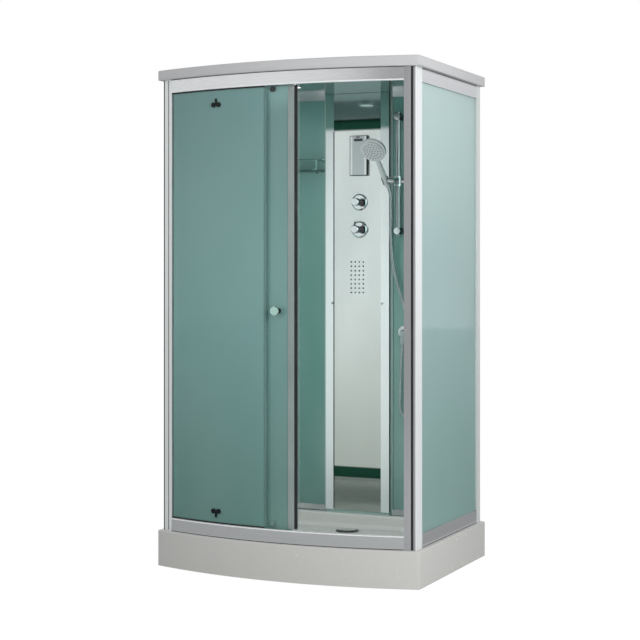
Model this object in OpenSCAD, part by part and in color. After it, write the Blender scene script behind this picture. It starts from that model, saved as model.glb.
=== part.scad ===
// Shower cabin with a bowed sliding front, in millimetres.
// X runs across the cabin, Y from the bowed front to the back, Z up from the floor.

/* [Cabin] */
// Overall width
cab_w = 1200; // [1150:10:1400]
// Overall depth over the bowed front
cab_d = 900; // [880:10:1000]
// Overall height
cab_h = 2120; // [2060:10:2250]
// Bow of the front, from its corners to its middle
bow = 95; // [80:5:115]

/* [Tray] */
// Height of the tray
tray_h = 152; // [140:1:170]
// Thickness of the tray's acrylic
tray_t = 5; // [4:0.5:6]
// Width of the tray's rim, under the frame
rim_w = 72; // [71:1:85]
// Height of the basin's floor
basin_z = 90; // [86:1:100]
// Distance of the waste from the back of the tray
waste_in = 155; // [140:5:200]
// Radius of the waste hole
waste_r = 45; // [40:1:48]
// Radius of the chrome waste cover
cover_r = 50; // [48:1:56]
// Lift of the cover's top over the basin floor
cover_rise = 7; // [6:1:10]
// Outer radius of the waste's outlet pipe
outlet_r = 20; // [16:1:20]
// Height of the outlet pipe's centre
outlet_z = 40; // [36:1:44]

/* [Subframe] */
// Side of the steel tube
tube_a = 30; // [25:1:34]
// Wall of the steel tube
tube_wall = 2; // [1.5:0.5:3]
// Distance of the outer feet from the middle of the tray
foot_x = 490; // [420:10:500]
// Front tube's distance from the tray's middle
subframe_front = 230; // [180:10:260]
// Back tube's distance from the tray's middle
subframe_back = 200; // [150:10:220]
// Radius of a foot's pad
pad_r = 24; // [18:1:28]
// Radius of a foot's threaded rod
rod_r = 6; // [5:0.5:8]

/* [Frame] */
// Frame's distance in from the tray's edge
frame_in = 20; // [14:1:24]
// Frame's distance in from the tray's back
back_in = 10; // [8:1:16]
// Thickness of the side frames
side_t = 20; // [19:1:22]
// Depth of the front posts along the side
post_d = 66; // [60:1:75]
// Depth of the back posts along the side
back_post_d = 47; // [40:1:55]
// Width of the left post, seen from the front
left_post_w = 30; // [28:1:32]
// Width of a post and its jamb together
jamb_band = 47; // [45:1:50]
// Height of the front and side rails
rail_h = 56; // [52:1:64]
// Depth of the front rails
rail_d = 50; // [50:1:52]
// Height of the back rails
back_rail_h = 28; // [24:1:34]
// Wall of the aluminium profiles
wall = 2.5; // [2:0.1:2.8]
// Depth of the glazing grooves
groove = 12; // [9:1:13]
// Play of a pane in its groove, on each side
glass_gap = 0.4; // [0.2:0.1:0.5]
// Width of the black gasket in the right post
gasket_w = 9.5; // [8:0.5:11]
// Width of the black gasket at the left post's edge
edge_gasket_w = 7; // [5:0.5:8]
// Depth of the black gaskets
gasket_d = 6; // [4:0.5:7]
// Radius of the posts' outer corner
corner_r = 8; // [5:1:9]

/* [Glass] */
// Thickness of every pane
glass_t = 6; // [5:0.5:6]
// Fixed pane's distance behind the rail's face
pane_set = 9; // [7:0.5:10]
// Space between the fixed pane and the door
door_gap = 12; // [11:0.5:13]

/* [Door] */
// Width of the door's glass, along its curve
door_w = 580; // [560:5:590]
// Space between the open door's glass and the left jamb
door_park = 20; // [18:1:30]
// Door glass rises this far into the top rail
door_in_top = 8; // [6:1:10]
// Height of the door glass over the tray
door_lift = 23; // [21:1:26]
// Knob's distance from the door glass's right edge
knob_in = 60; // [50:5:80]
// Height of the knob
knob_z = 1099; // [1000:1:1200]
// Radius of the knob
knob_r = 20; // [16:1:22]
// Length of the knob on each side of the glass
knob_len = 42; // [34:1:44]
// Radius of the knob's neck
knob_neck_r = 9; // [8:1:12]
// Finger space between the open door's knob and the fixed pane
finger_gap = 29; // [25:1:40]
// Width of the black magnet strips
magnet_w = 11; // [9:1:12]

/* [Rollers] */
// Radius of a roller wheel
wheel_r = 11; // [10:0.5:12]
// Thickness of a roller wheel
wheel_t = 6; // [5.5:0.1:6.4]
// Depth of the groove round a wheel
wheel_cut = 2; // [1.5:0.1:2.5]
// Radius of a wheel's axle
axle_r = 3; // [2.5:0.1:3.5]
// Running clearance of turning and sliding parts
run = 0.06; // [0.03:0.01:0.08]
// Free gap between parts that pass each other
gap = 0.4; // [0.3:0.1:0.5]
// Distance of the wheels from the door glass's edges
wheel_in = 85; // [70:5:110]
// Track's distance from the rail's inner face
track_in = 8.5; // [8.2:0.1:8.8]
// Radius of the bolts through the glass
bolt_r = 6; // [5:0.5:7]
// Radius of the bolts' outer caps
cap_r = 11; // [9:1:12]

/* [Roof] */
// Thickness of the roof
roof_h = 42; // [36:1:50]
// Wall of the roof shell
roof_t = 4; // [3:0.5:5]
// Width of the roof's bottom flange
roof_flange = 84; // [82:1:100]
// Thickness of the ceiling panel
ceiling_t = 4; // [3:0.5:6]
// Lamp's distance left of the middle
lamp_x = 128; // [100:1:200]
// Outer radius of the lamp's ring
lamp_r = 42; // [34:1:60]
// Depth of the lamp's ring
lamp_h = 12; // [8:1:20]

/* [Column] */
// Width of the column
col_w = 315; // [290:5:360]
// Width of the polished face
face_w = 234; // [210:2:240]
// Depth of the column's body
col_d = 30; // [28:1:32]
// Thickness of the polished face
face_t = 2; // [1.5:0.5:3]
// Thickness of the side strips
strip_t = 4; // [3.5:0.5:6]
// Width of the channel that holds the back pane
channel_w = 12; // [10:1:15]
// Height of the screw caps
cap_z = 1113; // [1050:1:1130]

/* [Controls] */
// Distance of the controls right of the middle
control_x = 12; // [0:1:20]
// Width of the control panel
panel_w = 85; // [70:1:95]
// Height of the control panel
panel_h = 183; // [160:1:190]
// Thickness of the control panel
panel_t = 16; // [12:1:20]
// Distance of the control panel below the ceiling
panel_drop = 195; // [185:1:205]
// Distance of the upper knob below the control panel
upper_drop = 121; // [110:1:135]
// Distance of the lower knob below the upper one
lower_drop = 125; // [115:1:135]
// Radius of the round plates behind the knobs
plate_r = 38; // [32:1:42]
// Thickness of the round plates
plate_t = 8; // [5:1:10]
// Radius of the valve knobs
valve_knob_r = 18.5; // [16:0.5:21]
// Length of the upper knob
upper_len = 50; // [40:1:55]
// Length of the lower knob
lower_len = 57; // [45:1:60]
// Radius of the valve spindles
spindle_r = 5; // [4:0.5:6]
// Columns of jets
jet_cols = 4; // [3:1:5]
// Rows of jets
jet_rows = 8; // [5:1:8]
// Spacing of the jets
jet_pitch = 20; // [16:1:20]
// Radius of a jet nozzle
jet_r = 4.5; // [3:0.5:6]
// Distance of the jets' middle below the lower knob
jet_drop = 218; // [205:1:230]
// Half the spacing of the hot and cold inlets
inlet_x = 75; // [60:5:90]
// Radius of the inlets' threads
inlet_r = 10.5; // [9:0.5:11]

/* [Riser] */
// Radius of the riser rail
riser_r = 12.5; // [10:0.5:12.5]
// Distance of the riser right of the middle
riser_x = 213; // [206:1:240]
// Distance of the riser from the back panes
riser_out = 47; // [40:1:55]
// Distance of the upper rail mount below the ceiling
riser_drop = 119; // [100:1:140]
// Distance between the rail mounts
riser_len = 514; // [490:1:540]
// Radius of the rail mounts
mount_r = 15; // [15:0.5:18]

/* [Hand shower] */
// Distance of the slider's arm below the upper rail mount
slider_drop = 290; // [275:1:300]
// Height of the slider's ring
slider_h = 44; // [36:1:50]
// Hand shower's axis left of the riser
holder_left = 33; // [33:1:36]
// Hand shower's axis in front of the riser
holder_out = 68; // [60:1:75]
// Lean of the hand shower
lean = 47; // [40:1:55]
// Length of the holder's sleeve
sleeve_len = 30; // [24:1:36]
// Handle's radius in the holder
handle_r = 13; // [11:0.5:14]
// Hand shower's length below the holder's middle
tail_len = 42; // [34:1:50]
// Hand shower's length from the holder to the head's middle
head_out = 190; // [160:1:210]
// Radius of the head
head_r = 58; // [45:1:65]
// Thickness of the head
head_t = 22; // [16:1:26]
// Radius of the turning spray face
face_r = 48; // [38:1:50]
// Thickness of the turning spray face
spray_t = 6; // [4:1:8]
// Radius of the hose
hose_r = 7; // [6:0.5:8]
// Height of the hose outlet on the back pane
elbow_z = 985; // [950:5:1020]

/* [Shelf] */
// Width of the shelf
shelf_w = 292; // [250:1:340]
// Depth of the shelf
shelf_d = 82; // [70:1:100]
// Height of the shelf's glass
shelf_z = 1719; // [1690:1:1730]
// Radius of the gallery rail
gallery_r = 4; // [3:0.5:6]
// Height of the gallery rail over the shelf
gallery_h = 46; // [36:1:60]

/* [Hidden] */
$fn = 48;
arc_fn = 720;
far = 4000;

// The bowed front and everything along it share one centre, arc_y behind the middle
arc_r = (cab_w * cab_w / 4 + bow * bow) / (2 * bow);
arc_y = arc_r - cab_d / 2;
frame_r = arc_r - frame_in;
frame_x = cab_w / 2 - frame_in;
frame_y = cab_d / 2 - back_in;
jamb_x = frame_x - jamb_band;
rail_r = frame_r - rail_d;
roof_z = cab_h - roof_h;
post_h = roof_z - tray_h;
glass_x = frame_x - side_t / 2;
post_y = arc_y - sqrt(frame_r * frame_r - frame_x * frame_x) + post_d;
back_post_y = frame_y - back_post_d;

// Radii of the two layers of glass, outer and inner face
pane_out = frame_r - pane_set;
pane_in = pane_out - glass_t;
door_out = pane_in - door_gap;
door_in = door_out - glass_t;

// Heights on the column and of the riser, measured down from the ceiling
ceiling_z = roof_z - ceiling_t;
panel_z = ceiling_z - panel_drop - panel_h;
upper_z = panel_z - upper_drop;
lower_z = upper_z - lower_drop;
jet_z = lower_z - jet_drop;
riser_z1 = ceiling_z - riser_drop;
riser_z0 = riser_z1 - riser_len;
slider_z = riser_z1 - slider_drop;

// Rails: heights of the tracks and of the wheels that run on them
lip_z = roof_z - rail_h + 12;
ridge_h = 3;
top_track = lip_z + wall + ridge_h;
low_track = tray_h + 38;
track_r = rail_r + track_in;
lip_w = track_in + wall / 2 + 1;
wheel_up = wheel_r - wheel_cut + gap;
top_wheel_z = top_track + wheel_up;
low_wheel_z = low_track + wheel_up;
top_bolt_z = roof_z - rail_h - 14;
low_bolt_z = tray_h + rail_h + 20;
door_z0 = tray_h + door_lift;
door_z1 = roof_z - rail_h + door_in_top;

// Angles along the front, from the middle, positive to the right
function along(mm) = mm / door_out * 180 / PI;
function at_x(x, r) = asin(x / r);
door_a0 = along(door_park) - at_x(jamb_x, door_out);
door_a1 = door_a0 + along(door_w);
wheel_a = [door_a0 + along(wheel_in), door_a1 - along(wheel_in)];
knob_a = door_a1 - along(knob_in);
pane_a0 = -at_x(jamb_x + groove, pane_out);
pane_a1 = knob_a - along(knob_r + finger_gap);
pane_edge_x = -pane_out * sin(pane_a1);
seal_grip = 15;
seal_out = 13;
fin_w = 10;
magnet_a0 = door_a1 + along(seal_out);
magnet_a1 = magnet_a0 + along(magnet_w);
tip_a = magnet_a1 + along(fin_w);
closed_tip_a = at_x(jamb_x - gap, door_in);
door_travel = closed_tip_a - tip_a;

// Plan of the tray and roof, drawn in from the edge by inset
module plan(inset) {
    intersection() {
        translate([0, arc_y]) circle(r = arc_r - inset, $fn = arc_fn);
        translate([-cab_w / 2 + inset, -cab_d])
            square([cab_w - 2 * inset, cab_d * 1.5 - inset]);
    }
}

// Flat piece of the bowed front between two radii and two distances from the middle
module front_plan(r0, r1, x0, x1) {
    intersection() {
        translate([0, arc_y]) difference() {
            circle(r = r1, $fn = arc_fn);
            circle(r = r0, $fn = arc_fn);
        }
        translate([x0, -cab_d]) square([x1 - x0, cab_d]);
    }
}

// Profile of radius and height, swept round the front between two angles
module swept(a0, a1) {
    translate([0, arc_y, 0]) rotate([0, 0, a0 - 90])
        rotate_extrude(angle = a1 - a0, $fn = arc_fn) children();
}

// Rectangle between two radii and two heights, swept round the front
module bent_block(a0, a1, r0, r1, z0, z1) {
    swept(a0, a1) translate([r0, z0]) square([r1 - r0, z1 - z0]);
}

// Frame at an angle along the front, where -Y points outwards from the arc's centre
module at_front(a) {
    translate([0, arc_y, 0]) rotate([0, 0, a]) children();
}

// Box between two corners
module box(a, b) {
    translate(a) cube(b - a);
}

// Rod between two points along X, Y or Z
module rod_x(x0, x1, y, z, r) {
    translate([x0, y, z]) rotate([0, 90, 0]) cylinder(r = r, h = x1 - x0);
}
module rod_y(x, y0, y1, z, r) {
    translate([x, y1, z]) rotate([90, 0, 0]) cylinder(r = r, h = y1 - y0);
}
module rod_z(x, y, z0, z1, r) {
    translate([x, y, z0]) cylinder(r = r, h = z1 - z0);
}

// The two mirror-image sides
module both_sides() {
    children();
    mirror([1, 0, 0]) children();
}

// Tray: one vacuum-formed shell with skirt, rim and basin
waste_y = cab_d / 2 - waste_in;
notch_r = outlet_r + 8;
module tray_shell() {
    color([0.93, 0.93, 0.91]) difference() {
        linear_extrude(tray_h) plan(0);
        translate([0, 0, basin_z]) linear_extrude(tray_h) plan(rim_w);
        translate([0, 0, -1]) linear_extrude(basin_z - tray_t + 1) plan(tray_t);
        translate([0, 0, -1]) linear_extrude(tray_h - tray_t + 1) difference() {
            plan(tray_t);
            plan(rim_w - tray_t);
        }
        rod_z(0, waste_y, 0, tray_h, waste_r);
        rod_y(0, cab_d / 2 - 2 * tray_t, cab_d / 2 + 1, outlet_z, notch_r);
    }
}

// Subframe: two long tubes and two cross tubes between them, under the basin floor
tube_z = basin_z - tray_t - tube_a;
subframe_end = foot_x + tube_a;
cross_in = 140;
cross_x = foot_x - cross_in;
module square_tube(length) {
    rotate([90, 0, 90]) linear_extrude(length, center = true) difference() {
        square(tube_a, center = true);
        square(tube_a - 2 * tube_wall, center = true);
    }
}
module subframe() {
    color([0.62, 0.64, 0.66]) {
        for (y = [-subframe_front, subframe_back])
            translate([0, y, tube_z + tube_a / 2]) square_tube(2 * subframe_end);
        for (x = [-cross_x, cross_x])
            translate([x, (subframe_back - subframe_front) / 2, tube_z + tube_a / 2])
                rotate([0, 0, 90]) square_tube(subframe_front + subframe_back - tube_a);
    }
}

// Levelling feet: pad, threaded rod and lock nut under each tube
nut_h = 8;
pad_h = 8;
module levelling_feet() {
    color([0.2, 0.2, 0.21]) for (x = [-foot_x, 0, foot_x], y = [-subframe_front, subframe_back])
        translate([x, y, 0]) {
            cylinder(r = pad_r, h = pad_h);
            cylinder(r = rod_r, h = tube_z);
            translate([0, 0, tube_z - nut_h]) cylinder(r = rod_r * 1.7, h = nut_h, $fn = 6);
        }
}

// Waste: flange on the basin floor, cup below it and outlet to the back
flange_t = 2;
cup_wall = 3;
cup_z0 = outlet_z - outlet_r - 6;
cup_r = waste_r - gap;
outlet_end = cab_d / 2 - 1;
spigot_len = 40;
collar_w = 4;
collar_r = outlet_r + 3;
pipe_wall = 2.5;
module waste_body() {
    color([0.35, 0.36, 0.37]) difference() {
        union() {
            translate([0, waste_y, cup_z0]) cylinder(r = cup_r, h = basin_z - cup_z0 + flange_t);
            translate([0, waste_y, basin_z]) cylinder(r = cover_r + 3, h = flange_t);
            rod_y(0, waste_y, outlet_end, outlet_z, outlet_r);
            rod_y(0, outlet_end - spigot_len - collar_w, outlet_end - spigot_len, outlet_z, collar_r);
        }
        translate([0, waste_y, cup_z0 + cup_wall]) cylinder(r = cup_r - cup_wall, h = cab_h);
        rod_y(0, waste_y, outlet_end + 1, outlet_z, outlet_r - pipe_wall);
    }
}

// Waste cover: shallow dome with a locating skirt, lifts off for cleaning
cover_play = 1;
module waste_cover() {
    color([0.8, 0.81, 0.82]) translate([0, waste_y, basin_z + flange_t]) {
        difference() {
            rotate_extrude() polygon([[0, 1], [cover_r - 3, 1], [cover_r, 0], [cover_r, 2],
                [cover_r * 0.7, cover_rise - 1.5], [cover_r * 0.35, cover_rise], [0, cover_rise]]);
        }
        translate([0, 0, -14]) difference() {
            cylinder(r = cup_r - cup_wall - cover_play, h = 16);
            translate([0, 0, -1]) cylinder(r = cup_r - cup_wall - cover_play - 2, h = 18);
            for (a = [0, 60, 120]) rotate([0, 0, a])
                translate([-cab_w / 2, -14, -1]) cube([cab_w, 28, 14]);
        }
    }
}

// Front posts, drawn on the right: rounded outer corner, gasket rebate and pane groove
round_a = at_x(frame_x - corner_r, frame_r - corner_r);
module post_outline(w) {
    difference() {
        intersection() {
            translate([0, arc_y]) circle(r = frame_r, $fn = arc_fn);
            translate([frame_x - w, post_y - far]) square([w, far]);
        }
        translate([frame_x - corner_r, arc_y - (frame_r - corner_r) * cos(round_a)])
            difference() {
                translate([corner_r * sin(round_a), -2 * corner_r]) square(2 * corner_r);
                circle(r = corner_r);
            }
    }
}
module gasket_outline(post_w, x0, x1) {
    intersection() {
        post_outline(post_w);
        front_plan(frame_r - gasket_d, frame_r, x0, x1);
    }
}
module pane_groove(y0, y1) {
    half = glass_t / 2 + glass_gap;
    translate([glass_x - half, y0]) square([2 * half, y1 - y0]);
}
module front_post(w, gasket_x0, gasket_x1) {
    translate([0, 0, tray_h]) linear_extrude(post_h) difference() {
        post_outline(w);
        front_plan(frame_r - gasket_d, frame_r + 1, gasket_x0, gasket_x1);
        pane_groove(post_y - groove, post_y + 1);
        translate([frame_x - w + wall, post_y - post_d + 2 * gasket_d])
            square([w - 2 * wall, post_d - 2 * gasket_d - groove - wall]);
    }
}
right_gasket_x = frame_x - side_t;
left_gasket_x = frame_x - edge_gasket_w;
module front_left_post() {
    color([0.78, 0.79, 0.8]) mirror([1, 0, 0])
        front_post(left_post_w, left_gasket_x, frame_x + 1);
}
module front_right_post() {
    color([0.78, 0.79, 0.8]) front_post(side_t, right_gasket_x - 1, right_gasket_x + gasket_w);
}

// Black gaskets in the posts' rebates
module corner_gaskets() {
    color([0.06, 0.07, 0.07]) translate([0, 0, tray_h]) linear_extrude(post_h) {
        gasket_outline(side_t, right_gasket_x, right_gasket_x + gasket_w);
        mirror([1, 0, 0]) gasket_outline(left_post_w, left_gasket_x, frame_x);
    }
}

// Back posts: grooves for the side pane and the back pane
back_glass_y = frame_y - glass_t / 2 - 7;
back_pane = back_glass_y - glass_t / 2;
side_groove_d = side_t * 0.4;
module back_posts() {
    color([0.78, 0.79, 0.8]) both_sides() translate([0, 0, tray_h])
        linear_extrude(post_h) difference() {
            translate([frame_x - side_t, back_post_y]) square([side_t, back_post_d]);
            pane_groove(back_post_y - 1, back_post_y + groove);
            translate([frame_x - side_t - 1, back_pane - glass_gap])
                square([side_groove_d + 1, glass_t + 2 * glass_gap]);
            translate([frame_x - side_t + wall, back_post_y + groove + wall])
                square([side_t - 2 * wall, back_pane - back_post_y - groove - 3 * wall]);
        }
}

// Jambs: the left one holds the fixed pane, the door closes on the right one
left_jamb_x = frame_x - left_post_w;
module left_jamb() {
    color([0.8, 0.81, 0.82]) mirror([1, 0, 0]) translate([0, 0, tray_h])
        linear_extrude(post_h) difference() {
            front_plan(rail_r, frame_r, jamb_x, left_jamb_x);
            front_plan(pane_in - glass_gap, pane_out + glass_gap, jamb_x - 1, jamb_x + groove + gap);
            front_plan(rail_r + wall, door_out, jamb_x + wall, left_jamb_x - wall);
        }
}
module right_jamb() {
    color([0.8, 0.81, 0.82]) translate([0, 0, tray_h]) linear_extrude(post_h) difference() {
        front_plan(rail_r, frame_r, jamb_x, frame_x - side_t);
        front_plan(rail_r + wall, frame_r - wall, jamb_x + wall, frame_x - side_t - wall);
    }
}

// Screws: those of the jambs, seen from inside the cabin, and the capped ones of the column
screw_r = 4.5;
screw_h = 2.5;
screw_zs = [tray_h + 2 * rail_h + 40, (tray_h + roof_z) / 2, roof_z - 2 * rail_h - 40];
cap_x = face_w / 2 + 7;
cap_screw_r = 6;
module jamb_screw(a, z) {
    at_front(a) translate([0, -rail_r, z]) rotate([-90, 0, 0]) cylinder(r = screw_r, h = screw_h);
}
module screws() {
    color([0.7, 0.71, 0.72]) {
        for (z = screw_zs) {
            jamb_screw(at_x((jamb_x + frame_x - side_t) / 2, rail_r), z);
            jamb_screw(-at_x((jamb_x + left_jamb_x) / 2, rail_r), z);
        }
        for (side = [-1, 1])
            rod_y(side * cap_x, col_y - strip_t - 3, col_y - strip_t, cap_z, cap_screw_r);
    }
}

// Bowed front rails between the jambs, top one with the track's lip and ridge
rail_a = at_x(jamb_x, rail_r) + 1;
rib_h = 14;
rib_w = 2;
module rail_span(z, h) {
    intersection() {
        swept(-rail_a, rail_a) children();
        box([-jamb_x, -cab_d, z - 1], [jamb_x, 0, z + h + 1]);
    }
}
module pane_ribs(z0, z1) {
    for (r = [pane_in - glass_gap - rib_w, pane_out + glass_gap])
        translate([r, z0]) square([rib_w, z1 - z0]);
}
module top_front_rail() {
    z0 = roof_z - rail_h;
    color([0.82, 0.83, 0.85]) rail_span(z0, rail_h) union() {
        translate([frame_r - wall, z0]) square([wall, rail_h]);
        translate([frame_r - 2 * wall, z0]) square([2 * wall, wall]);
        translate([rail_r, roof_z - wall]) square([rail_d, wall]);
        translate([rail_r, lip_z]) square([wall, roof_z - lip_z]);
        translate([rail_r, lip_z]) square([lip_w, wall]);
        translate([track_r - wall / 2, lip_z]) square([wall, wall + ridge_h]);
        pane_ribs(roof_z - wall - rib_h, roof_z - wall);
    }
}
module bottom_front_rail() {
    color([0.82, 0.83, 0.85]) rail_span(tray_h, rail_h) union() {
        translate([frame_r - wall, tray_h]) square([wall, rail_h]);
        translate([frame_r - 2 * wall, tray_h + rail_h - wall]) square([2 * wall, wall]);
        translate([rail_r, tray_h]) square([rail_d, wall]);
        translate([track_r - wall / 2, tray_h]) square([wall, low_track - tray_h]);
        pane_ribs(tray_h + wall, tray_h + wall + rib_h);
    }
}

// Side rails between the posts, with the pane's groove
module side_rail(z0, groove_z) {
    difference() {
        box([frame_x - side_t, post_y, z0], [frame_x, back_post_y, z0 + rail_h]);
        box([glass_x - glass_t / 2 - glass_gap, post_y - 1, groove_z],
            [glass_x + glass_t / 2 + glass_gap, back_post_y + 1, groove_z + groove]);
        box([frame_x - side_t + wall, post_y - 1, z0 + groove + 2 * wall],
            [frame_x - wall, back_post_y + 1, z0 + rail_h - groove - 2 * wall]);
    }
}
module side_top_rails() {
    z0 = roof_z - rail_h;
    color([0.8, 0.81, 0.83]) both_sides() side_rail(z0, z0);
}
module side_bottom_rails() {
    color([0.8, 0.81, 0.83]) both_sides() side_rail(tray_h, tray_h + rail_h - groove);
}

// Back rails from the posts to the column's channels
back_rail_t = frame_y - back_pane + 7;
back_groove = 10;
channel_x = col_w / 2 + channel_w;
module back_rail(z0, groove_z) {
    difference() {
        box([channel_x, frame_y - back_rail_t, z0],
            [frame_x - side_t, frame_y, z0 + back_rail_h]);
        box([channel_x - 1, back_pane - glass_gap, groove_z],
            [frame_x, back_pane + glass_t + glass_gap, groove_z + back_groove]);
    }
}
module back_rails() {
    top_z = roof_z - back_rail_h;
    color([0.8, 0.82, 0.82]) both_sides() {
        back_rail(top_z, top_z);
        back_rail(tray_h, tray_h + back_rail_h - back_groove);
    }
}

// Panes
pane_z0 = tray_h + wall;
pane_z1 = roof_z - wall - 1;
module fixed_front_glass() {
    color([0.5, 0.66, 0.63, 0.75]) difference() {
        bent_block(pane_a0, pane_a1, pane_in, pane_out, pane_z0, pane_z1);
        for (z = clip_z) at_front(clip_a) clip_pin(z, bolt_r / 2 + gap);
    }
}
side_pane_z0 = tray_h + rail_h - groove;
side_pane_z1 = roof_z - rail_h + groove - 1;
module side_pane() {
    box([glass_x - glass_t / 2, post_y - groove + gap, side_pane_z0],
        [glass_x + glass_t / 2, back_post_y + groove - gap, side_pane_z1]);
}
module side_glass() {
    color([0.62, 0.76, 0.74, 0.75]) both_sides() side_pane();
}
back_pane_z0 = tray_h + back_rail_h - back_groove;
back_pane_z1 = roof_z - back_rail_h + back_groove - 1;
module back_side_pane() {
    box([channel_x - channel_w + wall + gap, back_pane, back_pane_z0],
        [frame_x - side_t + side_groove_d - gap, back_pane + glass_t, back_pane_z1]);
}
module back_glass() {
    color([0.3, 0.5, 0.46, 0.8]) {
        mirror([1, 0, 0]) back_side_pane();
        difference() {
            back_side_pane();
            for (hole = [[riser_x, riser_z0], [riser_x, riser_z1], [elbow_x, elbow_z]])
                rod_y(hole.x, back_pane - 1, back_pane + glass_t + 1, hole.y, fixing_r + gap);
        }
    }
}

// Clips on the fixed pane: two round buttons and a short stem, bolted through the glass
clip_a = -at_x((jamb_x + pane_edge_x) / 2, pane_out);
clip_rise = 51;
clip_drop = 66;
clip_z = [tray_h + rail_h + clip_rise, roof_z - rail_h - clip_drop];
clip_half = 13;
clip_r = 10;
clip_t = 7;
stem_len = 26;
washer_t = 1.4;
module clip_pin(z, r) {
    translate([0, -pane_in + 2, z]) rotate([90, 0, 0]) cylinder(r = r, h = glass_t + 4);
}
module fixed_glass_clips() {
    color([0.12, 0.14, 0.14]) for (i = [0, 1]) at_front(clip_a) {
        z = clip_z[i];
        up = i == 0 ? -1 : 1;
        for (x = [-clip_half, clip_half])
            translate([x, -pane_out, z]) rotate([90, 0, 0]) cylinder(r = clip_r, h = clip_t);
        box([-clip_half, -pane_out - clip_t + 1, z - 4], [clip_half, -pane_out, z + 4]);
        box([-3, -pane_out - clip_t + 1, min(z, z + up * stem_len)],
            [3, -pane_out, max(z, z + up * stem_len)]);
        translate([0, -pane_out, z]) rotate([-90, 0, 0]) cylinder(r = bolt_r / 2, h = glass_t + 0.1);
        translate([0, -pane_in + 0.1, z]) rotate([-90, 0, 0]) cylinder(r = clip_r, h = washer_t);
    }
}

// Seal on the fixed pane's free edge, with a lip that wipes the door
lip_t = 1.5;
seal_wall = 1.5;
seal_z0 = tray_h + rail_h + 2;
seal_z1 = roof_z - rail_h - 2;
lip_z0 = low_bolt_z + cap_r + 2;
lip_z1 = top_bolt_z - cap_r - 2;
module fixed_glass_seal() {
    a = along(1);
    color([0.62, 0.68, 0.67]) difference() {
        union() {
            bent_block(pane_a1 - 8 * a, pane_a1 + 3 * a, pane_in - seal_wall,
                pane_out + seal_wall, seal_z0, seal_z1);
            bent_block(pane_a1 + 3 * a - lip_t * a, pane_a1 + 3 * a, door_out + gap,
                pane_out, lip_z0, lip_z1);
        }
        bent_block(pane_a1 - 9 * a, pane_a1, pane_in, pane_out, seal_z0 - 1, seal_z1 + 1);
    }
}

// Door pane, with holes for the carriers' bolts and for the knob
module glass_hole(a, z, r) {
    at_front(a) translate([0, -door_in + 5, z]) rotate([90, 0, 0])
        cylinder(r = r, h = glass_t + 10);
}
module door_glass() {
    color([0.5, 0.66, 0.63, 0.75]) difference() {
        bent_block(door_a0, door_a1, door_in, door_out, door_z0, door_z1);
        for (a = wheel_a, z = [top_bolt_z, low_bolt_z]) glass_hole(a, z, bolt_r + gap);
        glass_hole(knob_a, knob_z, bolt_r + gap);
    }
}

// Left edge seal: grips the door's glass and wipes the back of the fixed pane
door_seal_z0 = door_z0 + 4;
door_seal_z1 = door_z1 - 4;
module door_left_seal() {
    a = along(1);
    color([0.55, 0.6, 0.6]) difference() {
        union() {
            bent_block(door_a0 - 3 * a, door_a0 + 9 * a, door_in - seal_wall,
                door_out + seal_wall, door_seal_z0, door_seal_z1);
            bent_block(door_a0 - 3 * a, door_a0 - (3 - lip_t) * a, door_in,
                pane_in - washer_t - gap, seal_z0, seal_z1);
        }
        bent_block(door_a0, door_a0 + 10 * a, door_in, door_out, door_seal_z0 - 1,
            door_seal_z1 + 1);
    }
}

// Right edge: grey carrier with a thin inner fin, and the black magnet strip in front of it
carrier_out = 2.5;
module door_right_seal() {
    a0 = door_a1 - along(seal_grip);
    color([0.66, 0.69, 0.69]) difference() {
        union() {
            bent_block(a0, magnet_a0, door_in - seal_wall, door_out + carrier_out, seal_z0, seal_z1);
            bent_block(a0, tip_a, door_in - seal_wall, door_in, seal_z0, seal_z1);
        }
        bent_block(a0 - 1, door_a1, door_in, door_out, seal_z0 - 1, seal_z1 + 1);
    }
}
module door_magnet() {
    color([0.04, 0.04, 0.05])
        bent_block(magnet_a0, magnet_a1, door_in, door_out + carrier_out, seal_z0, seal_z1);
}
module jamb_magnet() {
    a0 = magnet_a1 + door_travel + along(gap);
    color([0.04, 0.04, 0.05]) intersection() {
        bent_block(a0, a0 + 2, door_in + gap, door_out + carrier_out, seal_z0, seal_z1);
        box([0, -cab_d, 0], [jamb_x, 0, cab_h]);
    }
}

// Knobs on both sides of the door, on one bolt through the glass
head_len = knob_len * 0.38;
module knob_half() {
    rotate_extrude() polygon([[0, 0], [knob_neck_r + 3, 0], [knob_neck_r, 4],
        [knob_neck_r, knob_len - head_len], [knob_r - 2, knob_len - head_len + 1],
        [knob_r, knob_len - head_len + 4], [knob_r, knob_len - 3], [knob_r - 3, knob_len],
        [0, knob_len]]);
}
module door_knobs() {
    color([0.85, 0.86, 0.87]) at_front(knob_a) {
        translate([0, -door_out, knob_z]) rotate([90, 0, 0]) knob_half();
        translate([0, -door_in + 0.1, knob_z]) rotate([-90, 0, 0]) knob_half();
        translate([0, -door_in + 0.1, knob_z]) rotate([90, 0, 0])
            cylinder(r = bolt_r, h = glass_t + 0.1);
    }
}

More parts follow.
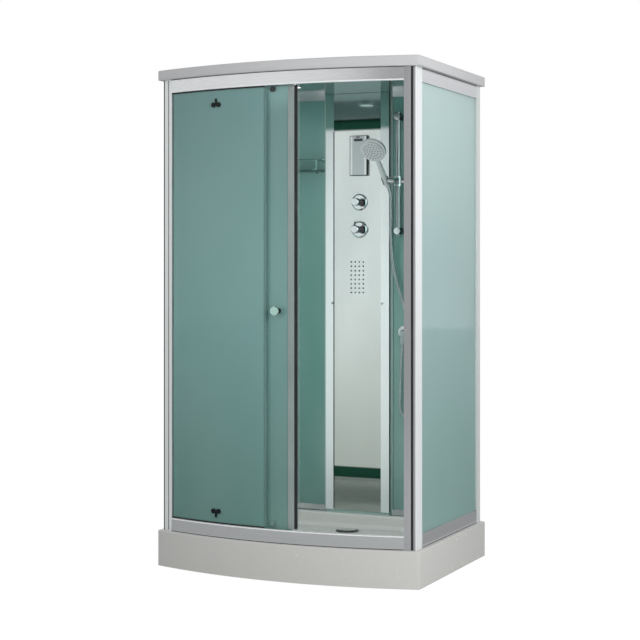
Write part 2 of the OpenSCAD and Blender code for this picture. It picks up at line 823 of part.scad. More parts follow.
// Roller carriers: plate on the inside, bolt and cap through the glass, axle for the wheel
plate_r0 = track_r + wheel_t / 2 + 0.7;
plate_half = 13;
axle_head = 1.2;
module carrier(a, bolt_z, wheel_z) {
    half = along(plate_half);
    lo = min(bolt_z - cap_r, wheel_z - wheel_r + 3);
    hi = max(bolt_z + cap_r, wheel_z + wheel_r - 3);
    bent_block(a - half, a + half, plate_r0, door_in, lo, hi);
    at_front(a) {
        translate([0, -door_in + 1, bolt_z]) rotate([90, 0, 0])
            cylinder(r = bolt_r, h = glass_t + 2);
        translate([0, -door_out, bolt_z]) rotate([90, 0, 0]) cylinder(r = cap_r, h = 5);
        translate([0, -plate_r0 - 1, wheel_z]) rotate([-90, 0, 0])
            cylinder(r = axle_r, h = wheel_t + 2.2);
        translate([0, -track_r + wheel_t / 2 + 0.4, wheel_z]) rotate([-90, 0, 0])
            cylinder(r = axle_r + 1.5, h = axle_head);
    }
}
module roller_carriers() {
    color([0.15, 0.17, 0.17]) for (a = wheel_a) {
        carrier(a, top_bolt_z, top_wheel_z);
        carrier(a, low_bolt_z, low_wheel_z);
    }
}

// Roller wheel, grooved to run on the track
cut_w = wall + 2 * gap;
module wheel(a, z) {
    bore = axle_r + run;
    color([0.88, 0.88, 0.86]) at_front(a) translate([0, -track_r, z]) rotate([90, 0, 0])
        rotate_extrude() polygon([[bore, -wheel_t / 2], [wheel_r, -wheel_t / 2],
            [wheel_r, -cut_w / 2], [wheel_r - wheel_cut, -cut_w / 2],
            [wheel_r - wheel_cut, cut_w / 2], [wheel_r, cut_w / 2], [wheel_r, wheel_t / 2],
            [bore, wheel_t / 2]]);
}
module top_left_wheel() wheel(wheel_a[0], top_wheel_z);
module top_right_wheel() wheel(wheel_a[1], top_wheel_z);
module bottom_left_wheel() wheel(wheel_a[0], low_wheel_z);
module bottom_right_wheel() wheel(wheel_a[1], low_wheel_z);

// Rubber stops on the top track, one at each end of the wheels' way
stop_w = 12;
module door_stops() {
    a0 = wheel_a[0] - along(wheel_r + 1);
    a1 = wheel_a[1] + door_travel + along(wheel_r + 1);
    color([0.08, 0.08, 0.08]) {
        bent_block(a0 - along(stop_w), a0, track_r - 2.5, track_r + 2.5, top_track, top_track + 14);
        bent_block(a1, a1 + along(stop_w), track_r - 2.5, track_r + 2.5, top_track, top_track + 14);
    }
}

// Roof: hollow shell with a flange all round, and the ceiling panel under the flange
module roof_shell() {
    color([0.93, 0.93, 0.93]) translate([0, 0, roof_z]) difference() {
        linear_extrude(roof_h) plan(0);
        translate([0, 0, roof_t]) linear_extrude(roof_h - 2 * roof_t) plan(roof_t);
        translate([0, 0, -1]) linear_extrude(roof_t + 2) plan(roof_flange);
    }
}
lamp_hole = lamp_r - 6;
module ceiling_panel() {
    color([0.9, 0.92, 0.92]) translate([0, 0, ceiling_z]) difference() {
        linear_extrude(ceiling_t) intersection() {
            translate([0, arc_y]) circle(r = rail_r - gap, $fn = arc_fn);
            translate([-frame_x + side_t + gap, -cab_d])
                square([2 * (frame_x - side_t - gap), cab_d + frame_y - back_rail_t - gap]);
        }
        for (side = [-1, 1]) translate([side * frame_x, post_y, -1])
            translate([-jamb_band - gap, -far]) cube([2 * (jamb_band + gap), far, 2 * ceiling_t]);
        translate([-col_w / 2 - gap, col_y - strip_t - gap, -1])
            cube([col_w + 2 * gap, cab_d, 2 * ceiling_t]);
        translate([-lamp_x, 0, -1]) cylinder(r = lamp_hole, h = 2 * ceiling_t);
    }
}
module lamp_ring() {
    color([0.82, 0.83, 0.84]) translate([-lamp_x, 0, ceiling_z]) rotate_extrude()
        polygon([[lamp_hole - 2, 0], [lamp_r, 0], [lamp_r - 2, -lamp_h * 0.6],
            [lamp_r - 5, -lamp_h], [lamp_hole - 2, -lamp_h]]);
}
module lamp_lens() {
    color([0.98, 0.98, 0.94]) translate([-lamp_x, 0, ceiling_z - lamp_h + 2])
        cylinder(r = lamp_hole - 2 - gap / 4, h = lamp_h - 2);
}

// Column: folded body open at the back, with channels for the back panes
col_y = frame_y - col_d;
col_top = roof_z;
spindle_hole = spindle_r + 6;
jets_w = (jet_cols - 1) * jet_pitch + 2 * jet_r + 6;
jets_h = (jet_rows - 1) * jet_pitch + 2 * jet_r + 6;
module spindle_holes(y0, y1) {
    for (z = [upper_z, lower_z]) rod_y(control_x, y0, y1, z, spindle_hole);
}
module column_body() {
    color([0.86, 0.88, 0.88]) difference() {
        translate([0, 0, tray_h]) linear_extrude(col_top - tray_h) difference() {
            union() {
                translate([-col_w / 2, col_y]) square([col_w, col_d]);
                translate([-channel_x, frame_y - back_rail_t])
                    square([2 * channel_x, back_rail_t]);
            }
            translate([-col_w / 2 + wall, col_y + wall]) square([col_w - 2 * wall, col_d]);
            for (side = [-1, 1])
                translate([side * (col_w / 2 + channel_w / 2 + wall / 2 + 0.5),
                    back_pane + glass_t / 2])
                    square([channel_w - wall + 1, glass_t + 2 * glass_gap], center = true);
        }
        spindle_holes(col_y - 1, col_y + 2 * wall);
        box([-jets_w / 2, col_y - 1, jet_z - jets_h / 2],
            [jets_w / 2, col_y + 2 * wall, jet_z + jets_h / 2]);
    }
}

// Polished face and the brushed strips beside it
face_z0 = tray_h + 12;
face_z1 = ceiling_z - 1;
module column_face() {
    color([0.9, 0.91, 0.91]) difference() {
        box([-face_w / 2, col_y - face_t, face_z0], [face_w / 2, col_y, face_z1]);
        spindle_holes(col_y - 2 * face_t, col_y + 1);
    }
}
module column_strips() {
    color([0.8, 0.82, 0.82]) both_sides()
        box([face_w / 2, col_y - strip_t, face_z0], [col_w / 2, col_y, face_z1]);
}

// Control panel on the polished face, with a narrow display window near its top
panel_y = col_y - face_t;
window_t = 1;
window_w = panel_w * 0.5;
window_h = 12;
window_z = panel_z + panel_h - 26;
module display_place(grow) {
    box([control_x - window_w / 2 - grow, panel_y - panel_t - grow, window_z - grow],
        [control_x + window_w / 2 + grow, panel_y - panel_t + window_t, window_z + window_h + grow]);
}
module control_panel() {
    color([0.84, 0.86, 0.86]) difference() {
        box([control_x - panel_w / 2, panel_y - panel_t, panel_z],
            [control_x + panel_w / 2, panel_y, panel_z + panel_h]);
        display_place(gap / 4);
    }
}
module display_window() {
    color([0.03, 0.05, 0.06]) display_place(0);
}

// Valve behind the column: body, spindles, inlets and the pipe towards the hose outlet
valve_y = col_y + wall + 14;
valve_r = 13;
collar_t = 8;
inlet_len = 12;
inlet_end = cab_d / 2;
pipe_r = 5;
pipe_y = frame_y + pipe_r;
pipe_x = control_x + 30;
pipe_z = lower_z - 34;
valve_z0 = lower_z - 45;
spindle_len = 24;
module inlet(x) {
    rod_y(x, valve_y, inlet_end, lower_z, inlet_r);
    rod_y(x, inlet_end - inlet_len - collar_t, inlet_end - inlet_len, lower_z, inlet_r + 3);
}
module valve_body() {
    color([0.72, 0.6, 0.36]) {
        rod_z(control_x, valve_y, valve_z0, upper_z + 40, valve_r);
        for (z = [upper_z, lower_z])
            rod_y(control_x, panel_y - plate_t - spindle_len, valve_y, z, spindle_r);
        rod_x(control_x - inlet_x, control_x + inlet_x, valve_y, lower_z, inlet_r - 1.5);
        inlet(control_x - inlet_x);
        inlet(control_x + inlet_x);
        rod_x(control_x, pipe_x + pipe_r, valve_y, pipe_z, pipe_r);
        rod_y(pipe_x, valve_y, pipe_y, pipe_z, pipe_r);
        rod_z(pipe_x, pipe_y, elbow_z - pipe_r, pipe_z, pipe_r);
        rod_x(pipe_x, elbow_x - joint_len, pipe_y, elbow_z, pipe_r);
    }
}

// Hose outlet: pipe tail through the back pane, wall disc, elbow and the hose's nut
elbow_x = riser_x + 12;
elbow_y = back_pane - 28;
elbow_r = 11;
disc_r = 28;
disc_t = 6;
fixing_r = 6;
joint_len = 12;
nut_top = elbow_z - 28;
hose_end_z = nut_top - 27;
module hose_outlet() {
    color([0.84, 0.85, 0.86]) {
        rod_x(elbow_x - joint_len, elbow_x, pipe_y, elbow_z, pipe_r);
        rod_y(elbow_x, back_pane - disc_t, pipe_y, elbow_z, fixing_r);
        rod_y(elbow_x, back_pane - disc_t, back_pane, elbow_z, disc_r);
        rod_y(elbow_x, elbow_y, back_pane, elbow_z, elbow_r);
        translate([elbow_x, elbow_y, elbow_z]) sphere(r = elbow_r);
        rod_z(elbow_x, elbow_y, nut_top, elbow_z, elbow_r - 0.5);
        translate([elbow_x, elbow_y, hose_end_z])
            cylinder(r1 = hose_r + 2.5, r2 = elbow_r + 1, h = nut_top - hose_end_z);
    }
}

// Round plates and knobs on the valve's spindles
module valve_plates() {
    color([0.84, 0.85, 0.86]) for (z = [upper_z, lower_z])
        translate([control_x, panel_y, z]) rotate([90, 0, 0]) difference() {
            rotate_extrude() polygon([[0, 0], [plate_r, 0], [plate_r, plate_t - 4],
                [plate_r - 6, plate_t], [0, plate_t]]);
            translate([0, 0, -1]) cylinder(r = spindle_r + gap, h = plate_t + 2);
        }
}
knob_y = panel_y - plate_t - gap;
module valve_knob(z, length) {
    translate([control_x, knob_y, z]) rotate([90, 0, 0]) difference() {
        rotate_extrude() polygon([[0, 0], [valve_knob_r - 3, 0], [valve_knob_r - 4, length * 0.55],
            [valve_knob_r, length * 0.62], [valve_knob_r, length - 3],
            [valve_knob_r - 3, length], [0, length]]);
        translate([0, 0, -1]) cylinder(r = spindle_r + run, h = spindle_len + 1.5);
    }
}
module upper_knob() {
    color([0.86, 0.87, 0.88]) valve_knob(upper_z, upper_len);
}
pin_r = 3;
pin_out = 36;
module lower_knob() {
    color([0.8, 0.81, 0.82]) {
        valve_knob(lower_z, lower_len);
        translate([control_x, knob_y - lower_len * 0.8, lower_z + valve_knob_r - 2])
            cylinder(r = pin_r, h = pin_out - valve_knob_r + 2);
    }
}

// Jets: water box behind the column's window and the nozzles on the polished face
jet_box_d = 24;
module jet_box() {
    color([0.9, 0.9, 0.88]) {
        box([-jets_w / 2 + gap, col_y, jet_z - jets_h / 2 + gap],
            [jets_w / 2 - gap, col_y + jet_box_d, jet_z + jets_h / 2 - gap]);
        rod_z(control_x, valve_y, jet_z + jets_h / 2 - 2, valve_z0, 8);
    }
}
module jet_nozzles() {
    color([0.35, 0.37, 0.38]) for (i = [0 : jet_cols - 1], j = [0 : jet_rows - 1])
        translate([(i - (jet_cols - 1) / 2) * jet_pitch, panel_y,
            jet_z + (j - (jet_rows - 1) / 2) * jet_pitch])
            rotate([90, 0, 0]) cylinder(r1 = jet_r, r2 = jet_r - 1.5, h = 2.5, $fn = 16);
}

// Riser rail in its two mounts, which are bolted through the back pane
riser_y = back_pane - riser_out;
seat = 0.1;
module riser_rail() {
    color([0.86, 0.87, 0.88]) rod_z(riser_x, riser_y, riser_z0 - 22, riser_z1 + 22, riser_r);
}
module rail_mounts() {
    color([0.84, 0.85, 0.86]) for (z = [riser_z0, riser_z1]) {
        difference() {
            union() {
                rod_y(riser_x, riser_y - riser_r - 5, back_pane, z, mount_r);
                rod_z(riser_x, riser_y, z - 14, z + 14, riser_r + 3);
            }
            rod_z(riser_x, riser_y, z - 40, z + 40, riser_r + seat);
        }
        rod_y(riser_x, back_pane - 1, back_pane + glass_t + nut_h, z, fixing_r);
        rod_y(riser_x, back_pane + glass_t, back_pane + glass_t + nut_h / 2, z, 1.7 * fixing_r);
    }
}

// Slider on the riser: ring, clamping knob on the right and arm to the front
holder_x = riser_x - holder_left;
holder_y = riser_y - holder_out;
ring_r = riser_r + 6.5;
arm_x0 = riser_x - 11;
arm_w = 22;
arm_h = 28;
pivot_r = 5;
module slider() {
    color([0.83, 0.84, 0.85]) difference() {
        union() {
            rod_z(riser_x, riser_y, slider_z - slider_h / 2, slider_z + slider_h / 2, ring_r);
            rod_x(riser_x, riser_x + ring_r + 16, riser_y, slider_z, 12);
            box([arm_x0, holder_y, slider_z - arm_h / 2],
                [arm_x0 + arm_w, riser_y, slider_z + arm_h / 2]);
            rod_x(arm_x0, arm_x0 + arm_w, holder_y, slider_z, arm_h / 2);
        }
        rod_z(riser_x, riser_y, slider_z - slider_h, slider_z + slider_h, riser_r + run);
        rod_x(arm_x0 - 1, arm_x0 + arm_w + 1, holder_y, slider_z, pivot_r + run);
    }
}

// Holder: conical sleeve round the handle, slotted for the hose, on a pivot pin in the arm
sleeve_wall = 4;
slot_w = 2 * hose_r + 2;
seat_taper = 1.2;
function seat_r(z) = handle_r + seat_taper * (z / sleeve_len - 0.5);
module in_holder() {
    translate([holder_x, holder_y, slider_z]) rotate([lean, 0, 0]) children();
}
module holder() {
    half = sleeve_len / 2;
    color([0.83, 0.84, 0.85]) difference() {
        union() {
            in_holder() cylinder(r = handle_r + sleeve_wall, h = sleeve_len, center = true);
            rod_x(holder_x, arm_x0 - gap, holder_y, slider_z, 12);
            rod_x(holder_x, arm_x0 + arm_w, holder_y, slider_z, pivot_r);
        }
        in_holder() translate([0, 0, -sleeve_len])
            cylinder(r1 = seat_r(-sleeve_len) + seat, r2 = seat_r(sleeve_len) + seat,
                h = 2 * sleeve_len);
        in_holder() box([-slot_w / 2, -2 * handle_r, -sleeve_len], [slot_w / 2, 0, sleeve_len]);
    }
}

// Hand shower: tail, handle and round head; its spray face turns
head_turn = 7;
handle_end = head_out - head_r + 16;
cone_len = 14;
module hand_shower() {
    color([0.84, 0.85, 0.86]) in_holder() {
        rotate_extrude() polygon([[0, -tail_len], [hose_r + 2.5, -tail_len],
            [seat_r(-half_seat), -tail_len + cone_len], [seat_r(-half_seat), -half_seat],
            [seat_r(half_seat), half_seat], [seat_r(half_seat), sleeve_len],
            [handle_r - 4, handle_end], [0, handle_end]]);
        head_frame() rotate_extrude($fn = 64) polygon([[0, -head_t / 2], [head_r - 8, -head_t / 2],
            [head_r - 1, -head_t * 0.2], [head_r, head_t * 0.1], [head_r, head_t / 2],
            [0, head_t / 2]]);
    }
}
half_seat = sleeve_len / 2 + 1;
module head_frame() {
    translate([0, 0, head_out]) rotate([90 - head_turn, 0, 0]) children();
}
module spray_face() {
    color([0.75, 0.77, 0.78]) in_holder() head_frame() translate([0, 0, head_t / 2 + gap])
        rotate_extrude($fn = 64) polygon([[0, 0], [face_r, 0], [face_r, spray_t - 2],
            [face_r - 3, spray_t], [0, spray_t]]);
}

// Hose: hangs from the hand shower in one long loop to the outlet elbow
hose_dir = [0, sin(lean), -cos(lean)];
hose_start = [holder_x, holder_y, slider_z] + (tail_len + seat) * hose_dir;
hose_route = [hose_start, hose_start + 22 * hose_dir, [179, 374, 1603], [176, 385, 1565],
    [172, 389, 1520], [169, 392, 1450], [170, 396, 1370], [178, 398, 1300], [193, 400, 1230],
    [213, 400, 1160], [236, 400, 1090], [261, 400, 1020], [286, 400, 950], [308, 400, 880],
    [326, 400, 810], [336, 400, 750], [340, 400, 700], [340, 400, 650], [331.6, 400, 618.8],
    [308.7, 400, 595.9], [277.5, 400, 587.5], [246.3, 400, 595.9], [223.4, 400, 618.8],
    [215, 400, 650], [215, 400, 700], [216, 400, 755], [217, 400, 810], [220, 399, 865],
    [elbow_x, elbow_y, hose_end_z - 25], [elbow_x, elbow_y, hose_end_z]];
function smooth_point(p, i, t) =
    let (n = len(p) - 1, a = p[max(i - 1, 0)], b = p[i], c = p[min(i + 1, n)],
        d = p[min(i + 2, n)])
    0.5 * (2 * b + (c - a) * t + (2 * a - 5 * b + 4 * c - d) * t * t
        + (3 * b - a - 3 * c + d) * t * t * t);
function unit(v) = v / norm(v);
function way_at(p, i) =
    let (n = len(p) - 1)
    i == 0 ? hose_dir : i == n ? [0, 0, 1] : unit(p[i + 1] - p[i - 1]);
function ring_at(p, i, r, sides) =
    let (t = way_at(p, i), s = unit(cross(t, [0, 1, 0])), u = cross(s, t))
    [for (k = [0 : sides - 1]) p[i] + r * (cos(k * 360 / sides) * s + sin(k * 360 / sides) * u)];
hose_steps = 2;
hose_sides = 10;
hose_path = [for (i = [0 : len(hose_route) - 2], j = [0 : hose_steps - 1])
    smooth_point(hose_route, i, j / hose_steps), hose_route[len(hose_route) - 1]];
module tube_along(p, r, sides) {
    n = len(p);
    points = [for (i = [0 : n - 1]) each ring_at(p, i, r, sides)];
    faces = [[for (k = [0 : sides - 1]) k],
        for (i = [0 : n - 2], k = [0 : sides - 1]) let (m = (k + 1) % sides)
            each [[i * sides + k, (i + 1) * sides + k, i * sides + m],
                [i * sides + m, (i + 1) * sides + k, (i + 1) * sides + m]],
        [for (k = [sides - 1 : -1 : 0]) (n - 1) * sides + k]];
    polyhedron(points, faces, convexity = 8);
}
module shower_hose() {
    color([0.78, 0.79, 0.8]) tube_along(hose_path, hose_r, hose_sides);
}

// Shelf: glass held by two brackets, with a gallery rail round its three free sides
shelf_t = 6;
shelf_x1 = -channel_x - 2;
shelf_x0 = shelf_x1 - shelf_w;
shelf_y = back_pane - shelf_d;
shelf_top = shelf_z + shelf_t;
bracket_in = 45;
bracket_w = 18;
bracket_d = 24;
jaw_t = 8;
gallery_z = shelf_top + gallery_h;
rose_r = gallery_r + 4;
gallery_x = [shelf_x0 + gallery_r, shelf_x1 - rose_r];
gallery_y = shelf_y + gallery_r;
module shelf_glass() {
    color([0.55, 0.7, 0.67, 0.8])
        box([shelf_x0, shelf_y, shelf_z], [shelf_x1, back_pane, shelf_top]);
}
module shelf_brackets() {
    color([0.84, 0.85, 0.86]) for (x = [shelf_x0 + bracket_in, shelf_x1 - bracket_in])
        translate([x - bracket_w / 2, back_pane - bracket_d, 0]) {
            translate([0, 0, shelf_z - jaw_t]) cube([bracket_w, bracket_d, jaw_t]);
            translate([0, 0, shelf_top]) cube([bracket_w, bracket_d, jaw_t]);
        }
}
module gallery_rail() {
    color([0.88, 0.89, 0.9]) {
        rod_x(gallery_x[0], gallery_x[1], gallery_y, gallery_z, gallery_r);
        for (x = gallery_x) {
            translate([x, gallery_y, gallery_z]) sphere(r = gallery_r + 1);
            rod_z(x, gallery_y, shelf_top, gallery_z, gallery_r - 0.5);
            rod_y(x, gallery_y, back_pane, gallery_z, gallery_r - 0.5);
            rod_y(x, back_pane - 3, back_pane, gallery_z, rose_r);
        }
    }
}

tray_shell();
subframe();
levelling_feet();
waste_body();
waste_cover();
front_left_post();
front_right_post();
back_posts();
left_jamb();
right_jamb();
corner_gaskets();
screws();
top_front_rail();
bottom_front_rail();
side_top_rails();
side_bottom_rails();
back_rails();
fixed_front_glass();
fixed_glass_clips();
fixed_glass_seal();
door_glass();
door_left_seal();
door_right_seal();
door_magnet();
jamb_magnet();
door_knobs();
roller_carriers();
top_left_wheel();
top_right_wheel();
bottom_left_wheel();
bottom_right_wheel();
door_stops();
side_glass();
back_glass();
roof_shell();
ceiling_panel();
lamp_ring();
lamp_lens();
column_body();
column_face();
column_strips();
control_panel();
display_window();
valve_body();
valve_plates();
upper_knob();
lower_knob();
jet_box();
jet_nozzles();
riser_rail();
rail_mounts();
slider();
holder();
hand_shower();
spray_face();
shower_hose();
hose_outlet();
shelf_glass();
shelf_brackets();
gallery_rail();
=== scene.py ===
import math

import bmesh
import bpy
from mathutils import Matrix, Vector


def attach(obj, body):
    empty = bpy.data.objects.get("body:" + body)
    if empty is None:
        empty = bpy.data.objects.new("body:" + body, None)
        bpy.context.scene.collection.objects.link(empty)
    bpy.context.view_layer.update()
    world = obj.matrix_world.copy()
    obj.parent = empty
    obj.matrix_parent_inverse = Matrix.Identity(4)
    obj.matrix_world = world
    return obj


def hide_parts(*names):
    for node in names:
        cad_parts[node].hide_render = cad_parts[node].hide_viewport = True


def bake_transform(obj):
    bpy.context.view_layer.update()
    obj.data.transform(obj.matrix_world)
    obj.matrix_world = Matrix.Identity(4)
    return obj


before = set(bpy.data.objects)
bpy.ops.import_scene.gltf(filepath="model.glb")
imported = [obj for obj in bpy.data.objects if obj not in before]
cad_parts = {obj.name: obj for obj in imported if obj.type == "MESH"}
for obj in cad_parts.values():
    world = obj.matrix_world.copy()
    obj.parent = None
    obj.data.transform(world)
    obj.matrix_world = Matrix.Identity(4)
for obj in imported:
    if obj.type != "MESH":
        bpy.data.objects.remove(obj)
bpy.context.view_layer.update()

# View: a camera on a stand at breast height, to the right of the cabin's front, level and with its
# frame shifted, so that upright edges stay upright.
CAMERA_PLACE = Vector((2.7888, -6.0119, 1.2754))
CAMERA_YAW = math.radians(24.876)
IMAGE_SIDE = 640
FOCAL_PIXELS = 1529.1
HORIZON_ROW = 267.78
SENSOR_WIDTH = 36
VIEW_DEPTH = 60

camera_data = bpy.data.cameras.new("camera")
camera_data.sensor_width = SENSOR_WIDTH
camera_data.lens = FOCAL_PIXELS / IMAGE_SIDE * SENSOR_WIDTH
camera_data.shift_y = (HORIZON_ROW - IMAGE_SIDE / 2) / IMAGE_SIDE
camera_data.clip_end = VIEW_DEPTH
camera = bpy.data.objects.new("camera", camera_data)
bpy.context.scene.collection.objects.link(camera)
forward = Vector((-math.sin(CAMERA_YAW), math.cos(CAMERA_YAW), 0))
level = Vector((math.cos(CAMERA_YAW), math.sin(CAMERA_YAW), 0))
facing = Matrix((level, level.cross(forward), -forward)).transposed().to_4x4()
camera.matrix_world = Matrix.Translation(CAMERA_PLACE) @ facing
bpy.context.scene.camera = camera
bpy.context.scene.view_settings.view_transform = "Standard"

# Room: a pale studio floor and white walls, as the camera and the glass show them. Metal mirrors soft
# grey walls with one dark stretch instead. Large soft lamps stand outside and inside the cabin, and
# only the one behind the fixed pane shows in reflections.


class Value:
    """A value in a node tree. Sums and products of values add the nodes that work them out."""

    def __init__(self, finish, socket):
        self.finish, self.socket = finish, socket

    def math(self, operation, *others):
        return self.finish.node("ShaderNodeMath", {"operation": operation}, [self, *others])

    def __add__(self, other):
        return self.math("ADD", other)

    def __sub__(self, other):
        return self.math("SUBTRACT", other)

    def __mul__(self, other):
        return self.math("MULTIPLY", other)

    def __rsub__(self, other):
        return self.finish.node("ShaderNodeMath", {"operation": "SUBTRACT"}, [other, self])

    __radd__ = __add__
    __rmul__ = __mul__

    def between(self, low, high):
        """0 under low, 1 over high and smooth between them."""
        settings = {"interpolation_type": "SMOOTHSTEP"}
        return self.finish.node("ShaderNodeMapRange", settings, [self, low, high, 0.0, 1.0])

    def band(self, rise, fall):
        """1 between two short ranges, 0 outside them and smooth across them."""
        return self.between(*rise) * (1 - self.between(*fall))


class Finish:
    """A node tree while it is made, most often a material's."""

    def __init__(self, name, tree=None):
        if tree is None:
            self.material = bpy.data.materials.new(name)
            self.material.use_nodes = True
            tree = self.material.node_tree
        self.tree = tree
        self.tree.nodes.clear()

    def node(self, kind, settings=None, values=(), output=0):
        """A new node: its settings first, then the numbers or links of its sockets."""
        made = self.tree.nodes.new(kind)
        for key, setting in (settings or {}).items():
            if key == "stops":
                ramp = made.color_ramp
                while len(ramp.elements) < len(setting):
                    ramp.elements.new(0.5)
                for stop, (place, colour) in zip(ramp.elements, setting):
                    stop.position, stop.color = place, (*colour, 1)
            else:
                setattr(made, key, setting)
        pairs = values.items() if isinstance(values, dict) else enumerate(values)
        for key, value in pairs:
            if isinstance(value, Value):
                self.tree.links.new(value.socket, made.inputs[key])
            elif value is not None:
                made.inputs[key].default_value = value
        return Value(self, made.outputs[output]) if made.outputs else None

    def own(self, axis=None):
        """The piece's own coordinates in metres, or one axis of them."""
        place = self.node("ShaderNodeTexCoord", output="Object")
        return self.node("ShaderNodeSeparateXYZ", {}, [place], axis) if axis else place

    def place(self, scale):
        """The piece's own coordinates, times scale."""
        return self.node("ShaderNodeMapping", {}, {"Vector": self.own(), "Scale": scale})

    def noise(self, scale, detail=3.0, roughness=0.5):
        return self.node("ShaderNodeTexNoise", {},
                         {"Vector": self.place(scale), "Scale": 1.0, "Detail": detail,
                          "Roughness": roughness})

    def smears(self):
        """Finger smears on a polished face, from 0 to 1."""
        return self.noise((24, 24, 14), 4.0, 0.6).between(0.35, 0.75)

    def mix(self, share, first, second):
        """A colour between two others."""
        return self.node("ShaderNodeMix", {"data_type": "RGBA"}, {0: share, 6: first, 7: second}, 2)

    def bump(self, height, distance, strength=1.0):
        return self.node("ShaderNodeBump", {},
                         {"Height": height, "Distance": distance, "Strength": strength})

    def surface(self, **sockets):
        """Ends a material with one Principled shader."""
        named = {key.replace("_", " "): value for key, value in sockets.items()}
        shader = self.node("ShaderNodeBsdfPrincipled", {}, named)
        self.node("ShaderNodeOutputMaterial", {}, [shader])
        return self.material


def colour(red, green, blue):
    """A display colour from 0 to 255 as the light it stands for."""
    def light(c):
        c /= 255
        return c / 12.92 if c < 0.04045 else ((c + 0.055) / 1.055) ** 2.4
    return (light(red), light(green), light(blue), 1.0)


def shaded(tint, share):
    """A colour at a share of its light."""
    return tuple(share * c for c in tint[:3]) + (1,)


WALL_TONES = [(0.08, 0.85), (0.30, 0.92), (0.46, 0.78), (0.56, 0.42), (0.63, 0.38), (0.68, 1.15),
              (0.74, 1.05), (0.84, 0.75)]
HEIGHT_TONES = [(0.48, 0.85), (0.56, 1.0), (0.75, 0.8), (1.0, 0.5)]
WHITE = (1, 1, 1, 1)
room = bpy.data.worlds.new("room")
bpy.context.scene.world = room
room.use_nodes = True
sky = Finish("room", room.node_tree)
seen = sky.node("ShaderNodeLightPath", output="Is Camera Ray")
mirrored = sky.node("ShaderNodeLightPath", output="Is Glossy Ray")
through = sky.node("ShaderNodeLightPath", output="Is Transmission Ray")
white_part = seen.math("MAXIMUM", through)
plain = sky.node("ShaderNodeBackground", {}, {"Color": WHITE, "Strength": 0.52})
shown = sky.node("ShaderNodeBackground", {}, {"Color": WHITE, "Strength": 1.0})
direction = sky.node("ShaderNodeTexCoord", output="Generated")


def wall_greys(tones, axis):
    """Greys of the mirrored walls along one axis of the direction, which runs from -1 to 1."""
    stops = [(place, (tone, tone, tone)) for place, tone in tones]
    along = sky.node("ShaderNodeSeparateXYZ", {}, [direction], axis)
    return sky.node("ShaderNodeValToRGB", {"stops": stops}, [along * 0.5 + 0.5])


studio = sky.node("ShaderNodeMix", {"data_type": "RGBA", "blend_type": "MULTIPLY"},
                  {0: 1.0, 6: wall_greys(WALL_TONES, "X"), 7: wall_greys(HEIGHT_TONES, "Z")}, 2)
reflected = sky.node("ShaderNodeBackground", {}, {"Color": studio, "Strength": 1.0})
lit = sky.node("ShaderNodeMixShader", {}, [mirrored, plain, reflected])
sky.node("ShaderNodeOutputWorld", {}, [sky.node("ShaderNodeMixShader", {}, [white_part, lit, shown])])


def soft_lamp(name, place, aim, width, height, power):
    """A large lamp at a place, turned to a point."""
    data = bpy.data.lights.new(name, "AREA")
    data.shape, data.size, data.size_y, data.energy = "RECTANGLE", width, height, power
    lamp = bpy.data.objects.new(name, data)
    lamp.location = place
    lamp.rotation_euler = (Vector(aim) - Vector(place)).to_track_quat("-Z", "Y").to_euler()
    bpy.context.scene.collection.objects.link(lamp)
    return lamp


for name, place, aim, width, height, power in (
        ("lamp_right", (4.6, -2.6, 2.4), (0, 0, 1.0), 2.4, 3.2, 190),
        ("lamp_front", (-1.6, -5.2, 2.2), (0, 0, 1.0), 3.0, 2.4, 45),
        ("lamp_ceiling", (0, 0.02, 2.04), (0, 0.02, 0), 0.8, 0.5, 1.3),
        ("lamp_cabin", (0.05, -0.30, 1.05), (0.05, 0.4, 1.05), 0.8, 1.5, 8)):
    soft_lamp(name, place, aim, width, height, power).visible_glossy = False
soft_lamp("lamp_pane", (-0.29, -0.32, 1.115), (-0.29, 0.4, 1.115), 0.48, 1.81, 1.9)


def mesh_piece(name, points, faces, material):
    """A piece from points and faces."""
    mesh = bpy.data.meshes.new(name)
    mesh.from_pydata(points, [], faces)
    mesh.materials.append(material)
    piece = bpy.data.objects.new(name, mesh)
    bpy.context.scene.collection.objects.link(piece)
    return piece


ground = Finish("studio_floor")
ground_seen = ground.node("ShaderNodeLightPath", output="Is Camera Ray")
ground_mirrored = ground.node("ShaderNodeLightPath", output="Is Glossy Ray")
tone = ground.mix(ground_mirrored, (0.8, 0.8, 0.8, 1), (0.55, 0.55, 0.55, 1))
matt = ground.node("ShaderNodeBsdfDiffuse", {}, {"Color": tone})
glow = ground.node("ShaderNodeEmission", {}, {"Color": WHITE, "Strength": 1.04})
white_ground = ground.node("ShaderNodeMixShader", {}, [ground_seen * 0.94, matt, glow])
ground.node("ShaderNodeOutputMaterial", {}, [white_ground])
FLOOR_HALF = 24
floor_corners = [(x * FLOOR_HALF, y * FLOOR_HALF, 0) for x, y in ((-1, -1), (1, -1), (1, 1), (-1, 1))]
floor = mesh_piece("floor", floor_corners, [(0, 1, 2, 3)], ground.material)

